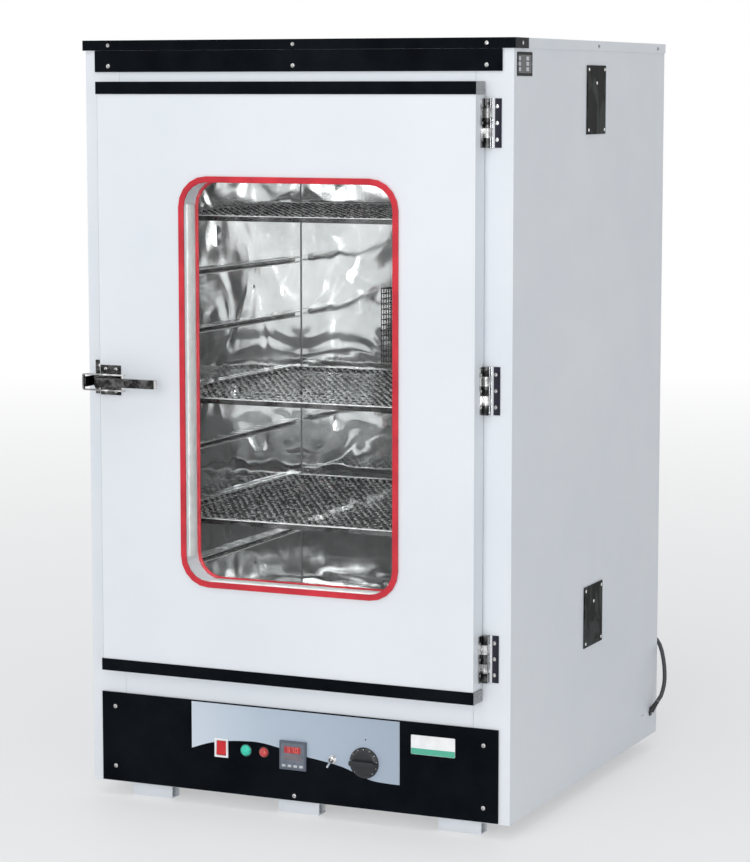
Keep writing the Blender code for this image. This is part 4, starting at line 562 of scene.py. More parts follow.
def glowing(name, colour, strength):
    look = Look(name, colour, 0.3)
    look.colour(look.noise(400, 2), ((0.3, tuple(part * 0.8 for part in colour)), (0.7, colour)))
    look.set("Emission Color", (*colour, 1))
    look.set("Emission Strength", strength)
    return look.material


PAINT = white_paint()
DOOR_EDGE_PAINTED_SHADE = plastic("door_edge_painted_shade", (0.20, 0.22, 0.24), 0.4)
STEEL = mirror_steel()
BRUSHED = brushed_steel()
BRIGHT = chrome_plate("bright_plated_steel", 0.30, 0.92, 45)
# The same plated steel with its colour painted dark, as the reflection of dim surroundings, for the latch and
# alternate hinge knuckles.
PLATE_PAINTED_DARK = chrome_plate("plated_steel_painted_dark_reflection", 0.02, 0.14, 70)
LEAF_STEEL = leaf_steel()
STRIP_END = plastic("strip_end_glare", (0.30, 0.31, 0.31), 0.3)
ZINC = zinc_sheet()
MESH_STEEL = expanded_steel()
RIM_PAINTED_HIGHLIGHT = bright_steel()
RAIL_SHADE = chrome_plate("rail_shade_steel", 0.02, 0.16, 25)
HEM_PAINTED_HIGHLIGHT = plastic("hem_steel_painted_highlight", (0.97, 0.98, 0.98), 0.2)
FLOOR_STEEL = rolled_steel()
GUARD_STEEL = chrome_plate("guard_wire", 0.03, 0.22)
BLACK = black_acrylic()
COVER_BLACK = cover_acrylic()
BLACK_PLASTIC = plastic("black_moulded_plastic", (0.020, 0.022, 0.026), 0.3)
RED_RUBBER = red_rubber()
GREY_RUBBER = plastic("grey_rubber", (0.30, 0.30, 0.31), 0.7, 500, 0.0001)
GLASS = window_glass()
WOOL = glass_wool()
GREY_PLASTIC = plastic("grey_moulded_plastic", (0.115, 0.135, 0.17), 0.42)
PALE_PLASTIC = plastic("pale_moulded_plastic", (0.62, 0.64, 0.66), 0.4)
WHITE_PLASTIC = plastic("white_moulded_plastic", (0.97, 0.98, 0.97), 0.35)
RED_PLASTIC = plastic("red_moulded_plastic", (0.72, 0.012, 0.018), 0.18)
SILVER = silver_foil()
BRUSHED_DARK = plastic("dark_plate_field", (0.035, 0.038, 0.042), 0.3)
LABEL_WHITE = plastic("label_white", (1.0, 1.0, 1.0), 0.5)
LABEL_GREEN = plastic("label_green", (0.10, 0.50, 0.34), 0.5)
GREEN_LENS = lamp_lens("green_lamp_lens", (0.01, 0.50, 0.33), (0.03, 0.80, 0.58))
RED_LENS = lamp_lens("red_lamp_lens", (0.50, 0.03, 0.03), (0.78, 0.09, 0.08))
SHEATH = plastic("black_cable_sheath", (0.050, 0.053, 0.060), 0.3, 700, 0.00005)
GREY_FACE = plastic("controller_face_grey", (0.16, 0.185, 0.225), 0.3)
DISPLAY_GREY = plastic("display_grey", (0.20, 0.17, 0.19), 0.15)
KNOB_BLACK = plastic("knob_bakelite", (0.016, 0.018, 0.022), 0.22)
DISPLAY_RED = glowing("display_red", (0.42, 0.035, 0.04), 0.10)
DIGIT_RED = glowing("display_digits", (0.95, 0.20, 0.16), 0.35)


# ---------------- mains lead

LEAD = 7.5 * MM
GLAND = Vector((0.3778, 0.367, 0.069))
SLEEVE_AIM = Vector((0.44, 0.36, 0.82)).normalized()
SLEEVE = 22 * MM
SLEEVE_FOOT = GLAND + RIGHT * 1.5 * MM
BENDS = (                   # from the sleeve over the rear edge and down behind the cabinet
    (0.3972, 0.3865, 0.1160), (0.3955, 0.3940, 0.1360), (0.3895, 0.4040, 0.1590), (0.3785, 0.4160, 0.1820),
    (0.3620, 0.4260, 0.1950), (0.3425, 0.4310, 0.1930), (0.3255, 0.4335, 0.1700), (0.3125, 0.4345, 0.1300),
    (0.3000, 0.4348, 0.0850),
)
LANDING = ((0.2840, 0.0460), (0.2620, 0.0200), (0.2340, 0.0070))    # x and z, down to the floor
COIL = Vector((0.150, 0.4875, 0))
COIL_TURNS = ((45.0, 0), (37.5, 0), (37.5, 1), (45.0, 1), (45.0, 2), (37.5, 2))     # radius in mm, layer
COIL_START = 52.8 * MM
TURN_STEPS = 36
SHIFT_SHARE = 0.3           # the part of a turn in which the lead moves to its next place


def smooth_route(points, spacing):
    padded = [2 * points[0] - points[1], *points, 2 * points[-1] - points[-2]]
    route = []
    for a, b, c, d in zip(padded, padded[1:], padded[2:], padded[3:]):
        count = max(1, round((c - b).length / spacing))
        for step in range(count):
            t = step / count
            near = 2 * b + (c - a) * t
            far = (2 * a - 5 * b + 4 * c - d) * t ** 2 + (3 * b - a - 3 * c + d) * t ** 3
            route.append((near + far) / 2)
    route.append(points[-1])
    return route


def eased(t):
    return t * t * (3 - 2 * t)


def lead_level(layer):
    """The height of the lead's middle where it lies on the floor, or on strands below."""
    return LEAD / 2 + 0.3 * MM + layer * LEAD


def lead_points():
    """The lead from its gland round the cabinet's rear edge, down to the floor and into the coil."""
    tip = SLEEVE_FOOT + SLEEVE_AIM * SLEEVE
    lying = lead_level(0)
    side = COIL.y - COIL_START
    down = [tip + SLEEVE_AIM * 0.3 * MM, tip + SLEEVE_AIM * 1.5 * LEAD]
    down += [Vector(bend) for bend in BENDS]
    down += [Vector((x, side, z)) for x, z in LANDING]
    down += [Vector((x, side, lying)) for x in (0.2050, 0.1760, COIL.x)]
    turns = []
    before = (COIL_START, lying)
    for radius, layer in COIL_TURNS:
        after = (radius * MM, lead_level(layer))
        for step in range(1, TURN_STEPS + 1):
            t = eased(min(1, step / TURN_STEPS / SHIFT_SHARE))
            r = before[0] + (after[0] - before[0]) * t
            z = before[1] + (after[1] - before[1]) * t
            turn = -math.pi / 2 - math.tau * step / TURN_STEPS
            turns.append(COIL + Vector((r * math.cos(turn), r * math.sin(turn), z)))
        before = after
    return down, turns


def mains_lead():
    down, turns = lead_points()
    low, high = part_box("mains_plug")
    mouth = Vector((high.x, COIL.y - COIL_TURNS[0][0] * MM, lead_level(2)))
    route = smooth_route(down, 1.6 * LEAD) + turns
    route += [turns[-1].lerp(mouth, 0.5), mouth, mouth + LEFT * 6 * MM]
    curve = bpy.data.curves.new("mains_lead_curve", "CURVE")
    curve.dimensions = "3D"
    curve.bevel_depth = LEAD / 2
    curve.bevel_resolution = 5
    curve.use_fill_caps = True
    line = curve.splines.new("POLY")
    line.points.add(len(route) - 1)
    for spot, point in zip(line.points, route):
        spot.co = (*point, 1)
    line.use_smooth = True
    curve.materials.append(SHEATH)
    lead = linked("mains_lead_curve", curve)
    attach(lead, "cabinet")
    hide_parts("mains_lead", "lead_coil")
    shell = low.x + 16 * MM
    pins = (BRIGHT, lambda spot, normal: spot.x < shell)
    plug = refined("mains_plug", BLACK_PLASTIC, 0.8 * MM, accents=[pins])
    coil_tie()


def coil_tie():
    """A strap round the six strands of the coil."""
    bm = bmesh.new()
    turn = 20 * DEG
    out = Vector((math.cos(turn), math.sin(turn), 0))
    middle = COIL + out * 41.25 * MM + UP * lead_level(1)       # between the two rings of strands
    place = Matrix.Translation(middle) @ Matrix((out, UP, UP.cross(out))).transposed().to_4x4()
    width = 2 * LEAD + 1.2 * MM
    height = 3 * LEAD + 0.1 * MM
    loop = rounded(width + 1.6 * MM, height + 0.4 * MM, 4 * MM)
    hole = rounded(width, height, 3.4 * MM)
    half = 3 * MM       # of the strap's width
    rings = []
    for outline, level in ((hole, -half), (loop, -half), (loop, half), (hole, half)):
        rings.append([bm.verts.new(place @ Vector((x, y, level))) for x, y in outline])
    for i, two in enumerate(rings):
        one = rings[i - 1]
        for j in range(len(one)):
            bm.faces.new((one[j - 1], one[j], two[j], two[j - 1]))
    return finished("coil_tie", bm, BLACK_PLASTIC, "cabinet", 40)


def strain_relief():
    """The ribbed sleeve that the lead leaves the side panel through."""
    bm = bmesh.new()
    add_lathe(bm, placing(GLAND, RIGHT), in_mm((0, 0), (0, 9), (1.2, 9), (2.2, 8), (2.6, 0)), 6)
    steps = [(0, 0), (0, 5.2)]
    for rib in range(5):
        base = 2.2 + rib * 3.9
        radius = 5.2 - rib * 0.28
        groove = radius - 0.9
        steps += [(base, radius), (base + 2.2, radius), (base + 2.7, groove), (base + 3.4, groove)]
    steps += [(SLEEVE / MM, 3.95), (SLEEVE / MM, 3.8), (18, 3.8), (18, 0)]
    add_lathe(bm, placing(SLEEVE_FOOT, SLEEVE_AIM), in_mm(*steps), 20)
    piece = finished("strain_relief", bm, BLACK_PLASTIC, "cabinet", 50)
    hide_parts("cord_gland")


# ---------------- screws

LEAF_PLATE = 1.6 * MM       # the thickness of a hinge leaf's plate


def screw(name, spot, direction, radius=3.6 * MM, body="cabinet", cross=True, turn=0.4):
    """A domed head with a cross or a slot cut into it."""
    place = placing(spot, direction) @ Matrix.Rotation(turn, 4, "Z")
    bm = bmesh.new()
    high = radius * 0.5
    profile = [(0, 0), (0, radius), (high * 0.35, radius), (high * 0.75, radius * 0.82)]
    profile += [(high, radius * 0.5), (high * 1.04, 0)]
    add_lathe(bm, place, profile, 24)
    head = finished(name, bm, BRIGHT, body, 40)
    cuts = bmesh.new()
    long = radius * (0.62 if cross else 0.9)
    thin = radius * 0.13
    add_block(cuts, place, (-long, -thin, high * 0.35), (long, thin, high * 2))
    if cross:
        add_block(cuts, place, (-thin, -long, high * 0.36), (thin, long, high * 1.9))
    cutter = finished(name + "_cutter", cuts, BRIGHT, body)
    step = head.modifiers.new("recess", "BOOLEAN")
    step.object = cutter
    step.operation = "DIFFERENCE"
    step.solver = "EXACT"
    step.use_self = True
    applied(head)
    bpy.data.objects.remove(cutter, do_unlink=True)
    return head


def applied(piece):
    """Makes the result of a piece's modifiers its mesh."""
    graph = bpy.context.evaluated_depsgraph_get()
    result = bpy.data.meshes.new_from_object(piece.evaluated_get(graph))
    old = piece.data
    piece.modifiers.clear()
    piece.data = result
    bpy.data.meshes.remove(old)


def screw_row(name, spots, direction, **settings):
    """The same screw at several places on one face."""
    spots = [Vector(spot) for spot in spots]
    first = screw(f"{name}_1", spots[0], direction, **settings)
    bpy.context.view_layer.update()
    for number, spot in enumerate(spots[1:], 2):
        piece = first.copy()
        piece.name = f"{name}_{number}"
        bpy.context.scene.collection.objects.link(piece)
        piece.matrix_world = Matrix.Translation(spot - spots[0]) @ first.matrix_world


def cabinet_screws():
    low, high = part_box("top_fascia")
    middle = high.z - 25.2 * MM
    screw_row("fascia_screw", [(x, low.y, middle) for x in (-0.3335, 0.002, 0.3335)], FRONT)
    spots = ((-0.3335, 0.1545), (-0.3335, 0.0525), (0.3335, 0.1517), (0.3335, 0.0502), (0.0, 0.0350))
    screw_row("panel_screw", [(x, PANEL_FACE, z) for x, z in spots], FRONT, turn=1.1)
    low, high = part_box("top_cover")
    for side, x, outward in (("left", low.x, LEFT), ("right", high.x, RIGHT)):
        screw_row(f"lid_screw_{side}", [(x, y, 1.254) for y in (0.0557, 0.3613)], outward, radius=3.2 * MM)
    for number, node in enumerate(("upper_side_cover", "lower_side_cover")):
        low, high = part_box(node)
        inset = 7 * MM
        levels = (low.z + inset, high.z - inset)
        spots = [(high.x, y, z) for y in (low.y + inset, high.y - inset) for z in levels]
        spots.append((high.x, (low.y + high.y) / 2, high.z - 29 * MM))
        screw_row(f"{node}_screw", spots, RIGHT, radius=2.8 * MM, turn=0.9 * number)
    screw("side_screw", (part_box("right_side_panel")[1].x, 0.324, 0.0717), RIGHT, radius=3 * MM)
    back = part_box("back_panel")[1].y
    spots = [(x, back, z) for z in (0.045, 0.45, 0.86, 1.225) for x in (-0.366, 0.366)]
    spots += [(x, back, z) for z in (0.045, 1.225) for x in (-0.12, 0.12)]
    screw_row("back_screw", spots, BACK, radius=3.2 * MM)


def door_screws():
    """The screws of the hinges, the latch and the door's black strips."""
    pan_low, pan_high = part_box("door_outer_pan")
    leaf_face = pan_high.x + 0.3 * MM + LEAF_PLATE
    for place in ("lower", "middle", "upper"):
        low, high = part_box(f"{place}_hinge_frame_leaf")
        levels = [(low.z + high.z) / 2 + step * 25.6 * MM for step in (-1, 0, 1)]
        spots = [(high.x - 7.2 * MM, high.y - LEAF_PLATE, z) for z in levels]
        screw_row(f"{place}_frame_leaf_screw", spots, FRONT, radius=3.2 * MM, cross=False, turn=0.7)
        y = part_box(f"{place}_hinge_door_leaf")[0].y + 5 * MM
        spots = [(leaf_face, y, z) for z in levels]
        screw_row(f"{place}_door_leaf_screw", spots, RIGHT, radius=2.6 * MM, body="door", cross=False)
    low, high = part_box("latch_base")
    levels = (low.z + 6.5 * MM, high.z - 6.5 * MM)
    spots = [(x, pan_low.y - 1.8 * MM, z) for x in (low.x + 10 * MM, high.x - 9 * MM) for z in levels]
    screw_row("latch_base_screw", spots, FRONT, radius=3 * MM, body="door", turn=0.2)
    low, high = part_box("latch_keeper")
    x = (low.x + high.x) / 2 - 4 * MM
    spots = [(x, high.y - 2 * MM, z) for z in (low.z + 9 * MM, high.z - 9 * MM)]
    screw_row("keeper_screw", spots, FRONT, radius=3 * MM)
    for node in ("bottom_door_strip", "top_door_strip"):
        low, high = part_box(node)
        for side, x, outward in (("right", high.x, RIGHT), ("left", low.x, LEFT)):
            spot = (x, high.y - 12 * MM, (low.z + high.z) / 2)
            screw(f"{node}_screw_{side}", spot, outward, radius=2.8 * MM, body="door")


# ---------------- control panel

def overlay():
    """The silver-grey printed sheet with its arched lower edge. It bears no words."""
    wave = in_mm((-188.5, 97.5), (-157, 108.5), (-126.5, 114.5), (-95, 117.7), (-62.5, 118.3),
                 (-25, 112.5), (10.5, 104.5), (46, 99.5), (82.5, 93.5), (110, 85), (136.5, 75.7),
                 (162, 73.2), (188.5, 72.6))
    wave = [Vector((x, z, 0)) for x, z in wave]
    edge = [(p.x, p.y) for p in smooth_route(wave, 4 * MM)]
    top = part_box("control_panel")[1].z - 2 * MM
    outline = [(wave[0].x, top), *edge, (wave[-1].x, top)]
    outline.reverse()
    place = Matrix.Translation((0, PANEL_FACE, 0)) @ Matrix.Rotation(90 * DEG, 4, "X")
    bm = bmesh.new()
    levels = (0, 0.25 * MM)
    add_filled(bm, [[bm.verts.new(place @ Vector((x, z, level))) for x, z in outline] for level in levels])
    finished("panel_overlay", bm, SILVER, "cabinet")


def stuck_plate(name, low, high, direction, material, thickness=0.3 * MM, radius=1.5 * MM):
    """A thin plate or sticker on a face. Its two corners are opposite ones of that face."""
    low = Vector(low)
    high = Vector(high)
    place = placing((low + high) / 2, direction)
    inverse = place.inverted()
    size = inverse @ high - inverse @ low
    bm = bmesh.new()
    add_plate(bm, place, rounded(abs(size.x), abs(size.y), radius, 3), 0, thickness)
    finished(name, bm, material, "cabinet", 40)


def labels():
    """The panel's label and dot, and the data plate on the side. None of them bears words."""
    y = PANEL_FACE
    stuck_plate("rating_label", (0.2085, y, 0.1265), (0.285, y, 0.158), FRONT, LABEL_WHITE)
    y -= 0.3 * MM
    stuck_plate("rating_label_band", (0.2088, y, 0.1268), (0.2847, y, 0.1365), FRONT, LABEL_GREEN,
                thickness=0.1 * MM, radius=1 * MM)
    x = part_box("right_side_panel")[1].x
    stuck_plate("data_plate", (x, -0.311, 1.204), (x, -0.247, 1.241), RIGHT, BLACK, thickness=0.8 * MM)
    x += 0.8 * MM
    stuck_plate("data_plate_field", (x, -0.3065, 1.2085), (x, -0.2515, 1.2365), RIGHT, BRUSHED_DARK,
                thickness=0.15 * MM)
    cells = bmesh.new()
    for column, width in ((-0.301, 9 * MM), (-0.268, 11 * MM)):
        left, right = column - width / 2, column + width / 2
        for row in range(3):
            z = 1.2115 + row * 8.3 * MM
            add_block(cells, FLAT, (x, left, z), (x + 0.25 * MM, right, z + 6 * MM))
    finished("data_plate_cells", cells, PALE_PLASTIC, "cabinet")
    screw_row("data_plate_rivet", [(x, y, 1.2225) for y in (-0.3088, -0.2492)], RIGHT, radius=1.3 * MM)
    dot = bmesh.new()
    place = placing((0.1287, PANEL_FACE - 0.25 * MM, 0.1415), FRONT)
    add_lathe(dot, place, in_mm((0, 0), (0, 1.3), (0.1, 1.3), (0.1, 0)), 16)
    finished("overlay_dot", dot, BLACK_PLASTIC, "cabinet")


def rocker():
    refined("rocker_frame", WHITE_PLASTIC, 0.9 * MM, 3)
    refined("rocker_key", RED_PLASTIC, 0.8 * MM, 3)


def middle_of(node, y):
    """The point in front of a node's middle, at the level y."""
    low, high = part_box(node)
    return Vector(((low.x + high.x) / 2, y, (low.z + high.z) / 2))


def indicator(node, material, radius):
    """A domed lens, its radius in millimetres, in a slim collar."""
    place = placing(middle_of(node, PANEL_FACE), FRONT)
    bm = bmesh.new()
    deep = (PANEL_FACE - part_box(node)[1].y) / MM
    lens = [(deep, 0), (deep, 6), (0.3, 6), (0.3, radius), (2.4, radius), (3.0, radius - 0.7)]
    lens += [(5.0, radius * 0.86), (6.3, radius * 0.62), (7.0, radius * 0.32), (7.2, 0)]
    add_lathe(bm, place, in_mm(*lens), 40)
    piece = finished(node + "_lens", bm, material, "cabinet", 50)
    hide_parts(node)
    collar = bmesh.new()
    ring = ((0.05, 1.2), (1.4, 1.2), (1.9, 0.6), (1.9, 0.1), (0.05, 0.1), (0.05, 1.2))
    add_lathe(collar, place, in_mm(*((high, radius + more) for high, more in ring)), 40)
    finished(node + "_collar", collar, BLACK_PLASTIC, "cabinet", 40)


SEGMENTS = {"3": "abgcd", "7": "abc", "0": "abcdef"}


def digits(x, y, z):
    """The number 370 in bars, as on a seven-segment display, with its middle at a point."""
    width, height, thick = 4.2 * MM, 7.6 * MM, 0.8 * MM
    side, level = width / 2, height / 4
    bars = {"a": (0, height / 2), "g": (0, 0), "d": (0, -height / 2),
            "f": (-side, level), "b": (side, level), "e": (-side, -level), "c": (side, -level)}
    bm = bmesh.new()
    for number, digit in enumerate("370"):
        for bar in SEGMENTS[digit]:
            across, up = bars[bar]
            wide, tall = (width, thick) if across == 0 else (thick, height / 2)
            spot = Vector((x + (number - 1) * 7.6 * MM + across, y, z + up))
            half = Vector((wide / 2 - 0.1 * MM, 0, tall / 2 - 0.1 * MM))
            add_block(bm, FLAT, spot - half + FRONT * 0.06 * MM, spot + half)
    finished("display_digits", bm, DIGIT_RED, "cabinet")


def controller():
    refined("temperature_controller", GREY_PLASTIC, 0.9 * MM, 3)
    x, face, z = middle_of("temperature_controller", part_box("temperature_controller")[0].y)
    plates = (      # lift, half width, bottom, top, material, thickness and corners, all in mm
        ("controller_face", 0, 20.5, -20.5, 20.5, GREY_FACE, 0.1, 1.5),
        ("display_upper", 0.1, 15, 4, 15, DISPLAY_RED, 0.15, 1),
        ("display_lower", 0.1, 15, -7.5, 1.5, DISPLAY_GREY, 0.15, 1),
    )
    for name, lift, side, bottom, top, material, thickness, radius in plates:
        y = face - lift * MM
        low = (x - side * MM, y, z + bottom * MM)
        high = (x + side * MM, y, z + top * MM)
        stuck_plate(name, low, high, FRONT, material, thickness * MM, radius * MM)
    digits(x, face - 0.25 * MM, z + 9.5 * MM)
    for number in range(1, 5):
        refined(f"controller_key_{number}", PALE_PLASTIC, 0.35 * MM)


def toggle():
    """A hexagonal nut, a threaded bush and a lever, where the CAD has them."""
    face = PANEL_FACE - 0.3 * MM
    place = placing(middle_of("toggle_switch_body", face), FRONT)
    bm = bmesh.new()
    add_lathe(bm, place, in_mm((0, 5.1), (0, 7), (0.6, 7), (0.6, 5.1), (0, 5.1)), 32)
    nut = in_mm((0.6, 5), (0.6, 6.5), (0.9, 6.9), (2.7, 6.9), (3, 6.4), (3, 5), (0.6, 5))
    add_lathe(bm, place, nut, 6)
    thread = [(0.2, 3.75), (0.2, 4.9)]
    for step in range(8):
        start = 3.1 + step * 0.65
        thread += [(start, 4.6), (start + 0.32, 5.0)]
    thread += [(8.5, 4.5), (8.5, 3.75), (0.2, 3.75)]
    add_lathe(bm, place, in_mm(*thread), 32)
    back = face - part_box("toggle_switch_body")[1].y
    add_block(bm, place, (-7 * MM, -7 * MM, back), (7 * MM, 7 * MM, face - PANEL_BACK - 0.6 * MM))
    piece = finished("toggle_bush", bm, BRIGHT, "cabinet", 35)
    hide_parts("toggle_switch_body")
    refined("toggle_lever", BRIGHT, 0.3 * MM, 2, 60)


def knob():
    """A round skirt with a grip bar and a plain scale of lines."""
    place = placing(middle_of("control_knob", PANEL_FACE - 0.6 * MM), FRONT)
    skirt = in_mm((-14.4, 0), (-14.4, 3), (0, 3), (0, 25.6), (1.6, 25.6), (2.4, 25.1), (4.4, 21.0),
                  (5.2, 19.4), (5.4, 16.6), (5.2, 0))
    bm = bmesh.new()
    add_lathe(bm, place, skirt, 64)
    piece = finished("knob_skirt", bm, KNOB_BLACK, "knob", 35)
    grip = bmesh.new()
    upper = [(24, 0), (23.5, 1.2), (19, 4.4), (-19, 4.4), (-22, 3.2)]
    lower = [(x, -y) for x, y in reversed(upper[1:])]
    add_plate(grip, place, in_mm(*lower, *upper), 1.2 * MM, 14.2 * MM)
    bevel_edges(grip, 1.1 * MM, 3)
    finished("knob_grip_bar", grip, KNOB_BLACK, "knob", 40)
    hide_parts("control_knob")
    marks = bmesh.new()
    on_slope = Matrix.Translation((23.1 * MM, 0, 3.15 * MM)) @ Matrix.Rotation(27 * DEG, 4, "Y")
    for number in range(11):
        half = 1.6 * MM if number % 5 == 0 else 1 * MM
        spot = place @ Matrix.Rotation((225 - 27 * number) * DEG, 4, "Z") @ on_slope
        add_block(marks, spot, (-half, -0.35 * MM, -0.1 * MM), (half, 0.35 * MM, 0.2 * MM))
    finished("knob_scale", marks, LABEL_WHITE, "knob")


# ---------------- door window

def window_spacers():
    """White strips between the two panes, one on each straight side of the window."""
    low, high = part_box("outer_pane")
    near = high.y + 9 * MM
    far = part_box("inner_pane")[0].y - 7 * MM
    corner = 40 * MM
    thick = 3 * MM
    bm = bmesh.new()
    for x in (low.x, high.x - thick):
        add_block(bm, FLAT, (x, near, low.z + corner), (x + thick, far, high.z - corner))
    for z in (low.z, high.z - thick):
        add_block(bm, FLAT, (low.x + corner, near, z), (high.x - corner, far, z + thick))
    bevel_edges(bm, 0.5 * MM)
    finished("window_spacers", bm, WHITE_PLASTIC, "door", 40)


# ---------------- mesh shelves and guard

def mesh_sheet(name, place, width, depth):
    """Expanded metal: staggered diamond holes between strands that are tilted to one side."""
    across, along = MESH_CELLS
    strand, relief, thickness = 3.4 * MM, 0.75 * MM, 0.7 * MM
    bm = bmesh.new()
    corners = {}

    def corner(i, j):
        if (i, j) not in corners:
            x = (i / across - 1) * width / 2
            y = (j / along - 1) * depth / 2
            corners[i, j] = bm.verts.new((x, y, 0))
        return corners[i, j]

    for j in range(2 * along + 1):
        for i in range(2 * across + 1):
            around = [(i - 1, j), (i, j - 1), (i + 1, j), (i, j + 1)]
            around = [(a, b) for a, b in around if 0 <= a <= 2 * across and 0 <= b <= 2 * along]
            if (i + j) % 2 == 1 and len(around) > 2:
                bm.faces.new([corner(*spot) for spot in around])
    diamonds = [face for face in bm.faces if len(face.verts) == 4]
    before = set(bm.verts)
    bmesh.ops.inset_individual(bm, faces=diamonds, thickness=strand / 2, use_even_offset=True)
    holes = [face for face in bm.faces if not before.intersection(face.verts)]
    for face in holes:
        middle = face.calc_center_median()
        for vert in face.verts:
            vert.co.z += relief if vert.co.y > middle.y else -relief
    bmesh.ops.delete(bm, geom=holes, context="FACES_ONLY")
    bmesh.ops.solidify(bm, geom=bm.faces, thickness=-thickness)
    bmesh.ops.transform(bm, matrix=place, verts=bm.verts)
    return finished(name, bm, MESH_STEEL, "cabinet")


def shelf(node):
    """A sheet of expanded metal in a folded rim, bright with a painted highlight, whose skirts at its front
    and back have painted shade.
    """
    low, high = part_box(node)
    top = high.z
    width, depth, _ = mesh_size(node)
    middle = (low + high) / 2
    place = Matrix.Translation((middle.x, middle.y, top - 1.6 * MM))
    mesh = mesh_sheet(node + "_mesh", place, width, depth)
    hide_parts(node)
    sheet = 1 * MM
    between_rails = 11.8 * MM
    bm = bmesh.new()
    for x in (low.x, high.x - SHELF_RIM):
        add_block(bm, FLAT, (x, low.y, top - sheet), (x + SHELF_RIM, high.y, top))
    for y in (low.y, high.y - SHELF_RIM):
        add_block(bm, FLAT, (low.x + SHELF_RIM, y, top - sheet), (high.x - SHELF_RIM, y + SHELF_RIM, top))
    for y in (low.y, high.y - sheet):
        left, right = low.x + between_rails, high.x - between_rails
        add_block(bm, FLAT, (left, y, low.z), (right, y + sheet, top - sheet))
    # The skirts under the rim's top get painted shade, and the rim's top a painted highlight.
    for face in bm.faces:
        face.material_index = int(face.calc_center_median().z < top - 1.5 * MM)
    rim = finished(node + "_rim", bm, RIM_PAINTED_HIGHLIGHT, "cabinet")
    rim.data.materials.append(RAIL_SHADE)


WIRE = 0.9 * MM             # a wire's radius
WIRE_PITCH = 9.6 * MM


def wire_places(low, high):
    """Evenly spaced wires, of which the outer ones lie just inside both ends."""
    count = round((high - low) / WIRE_PITCH)
    return [low + WIRE + (high - low - 2 * WIRE) * i / count for i in range(count + 1)]


def guard():
    """A box of square wire mesh over the fan."""
    low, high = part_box("fan_guard")
    near = low.y + WIRE
    columns = wire_places(low.x, high.x)
    rows = wire_places(low.z, high.z)
    left, right, bottom, top = columns[0], columns[-1], rows[0], rows[-1]
    bars = []
    for x in columns:
        bars.append(((x, near, bottom), (x, near, top)))
        if x not in (left, right):
            bars += [((x, near, z), (x, high.y, z)) for z in (bottom, top)]
    for z in rows:
        bars.append(((left, near, z), (right, near, z)))
        bars += [((x, near, z), (x, high.y, z)) for x in (left, right)]
    for depth in range(1, 5):
        y = near + (high.y - near) * depth / 4 - (WIRE if depth == 4 else 0)
        bars += [((left, y, z), (right, y, z)) for z in (bottom, top)]
        bars += [((x, y, bottom), (x, y, top)) for x in (left, right)]
    bm = bmesh.new()
    for start, end in bars:
        add_bar(bm, start, end, WIRE)
    piece = finished("fan_guard_mesh", bm, GUARD_STEEL, "cabinet", 60)
    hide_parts("fan_guard")


# ---------------- chamber, louvres and finishes

RAIL_ROOT = 302.5 * MM          # the chamber walls' inner faces, where the rails stand on them
RIVETS_Y = (-0.110, 0.140)
RIVETS_Z = (0.3300, 0.6310, 0.8320, 1.0330)
LOUVRE_LOW = 85 * MM            # the lowest slot of the back panel
LOUVRE_PITCH = 22 * MM


def chamber_details():
    """Rivets in the side walls and a sealing bead in each upright corner."""
    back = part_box("chamber_back_wall")[0].y - 0.2 * MM
    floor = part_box("chamber_floor")[1].z
    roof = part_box("chamber_roof")[0].z
    for name, side, inward in (("left", -1, RIGHT), ("right", 1, LEFT)):
        spots = [(side * RAIL_ROOT, y, z) for y in RIVETS_Y for z in RIVETS_Z]
        screw_row(f"chamber_{name}_rivet", spots, inward, radius=3.2 * MM, cross=False)
        bead = bmesh.new()
        x = side * (RAIL_ROOT - 0.2 * MM)
        add_bar(bead, (x, back, floor), (x, back, roof), 1.4 * MM, 10)
        finished(f"chamber_{name}_corner_bead", bead, GREY_RUBBER, "cabinet", 40)


def rail_hems():
    """The rounded hems along both edges of every shelf rail, near white as a painted highlight."""
    shelf_low, shelf_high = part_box("lower_shelf")
    top = shelf_high.z - 1.3 * MM       # the rails' upper faces, just under the shelf's sheet
    pitch = (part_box("upper_shelf")[1].z - shelf_high.z) / 5
    near = shelf_low.y - 15 * MM
    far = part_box("chamber_back_wall")[0].y - 27 * MM
    bm = bmesh.new()
    for side in (-1, 1):
        x = side * (RAIL_ROOT - 11.1 * MM)
        for number in range(-1, 6):
            for level in (-1.1 * MM, -9.9 * MM):
                z = top + number * pitch + level
                add_bar(bm, (x, near, z), (x, far, z), 1.1 * MM, 8)
    finished("rail_hems", bm, HEM_PAINTED_HIGHLIGHT, "cabinet", 50)


def louvre_hoods():
    """A pressed hood over each slot in the back panel."""
    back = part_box("back_panel")[1].y
    bm = bmesh.new()
    for middle in (-0.150, 0.150):
        for row in range(5):
            top = LOUVRE_LOW + row * LOUVRE_PITCH + 8 * MM
            outer = []
            for step in range(7):
                turn = step / 6 * math.pi / 2
                outer.append((back + 4.5 * MM * math.sin(turn), top + 4 * MM - 9 * MM * (1 - math.cos(turn))))
            inner = [(y - 0.8 * MM, z) for y, z in reversed(outer[1:])]
            outline = outer + inner + [(back, top + 3 * MM)]
            ends = (middle - 0.084, middle + 0.084)
            add_filled(bm, [[bm.verts.new((x, y, z)) for y, z in outline] for x in ends])
    finished("louvre_hoods", bm, PAINT, "cabinet", 40)


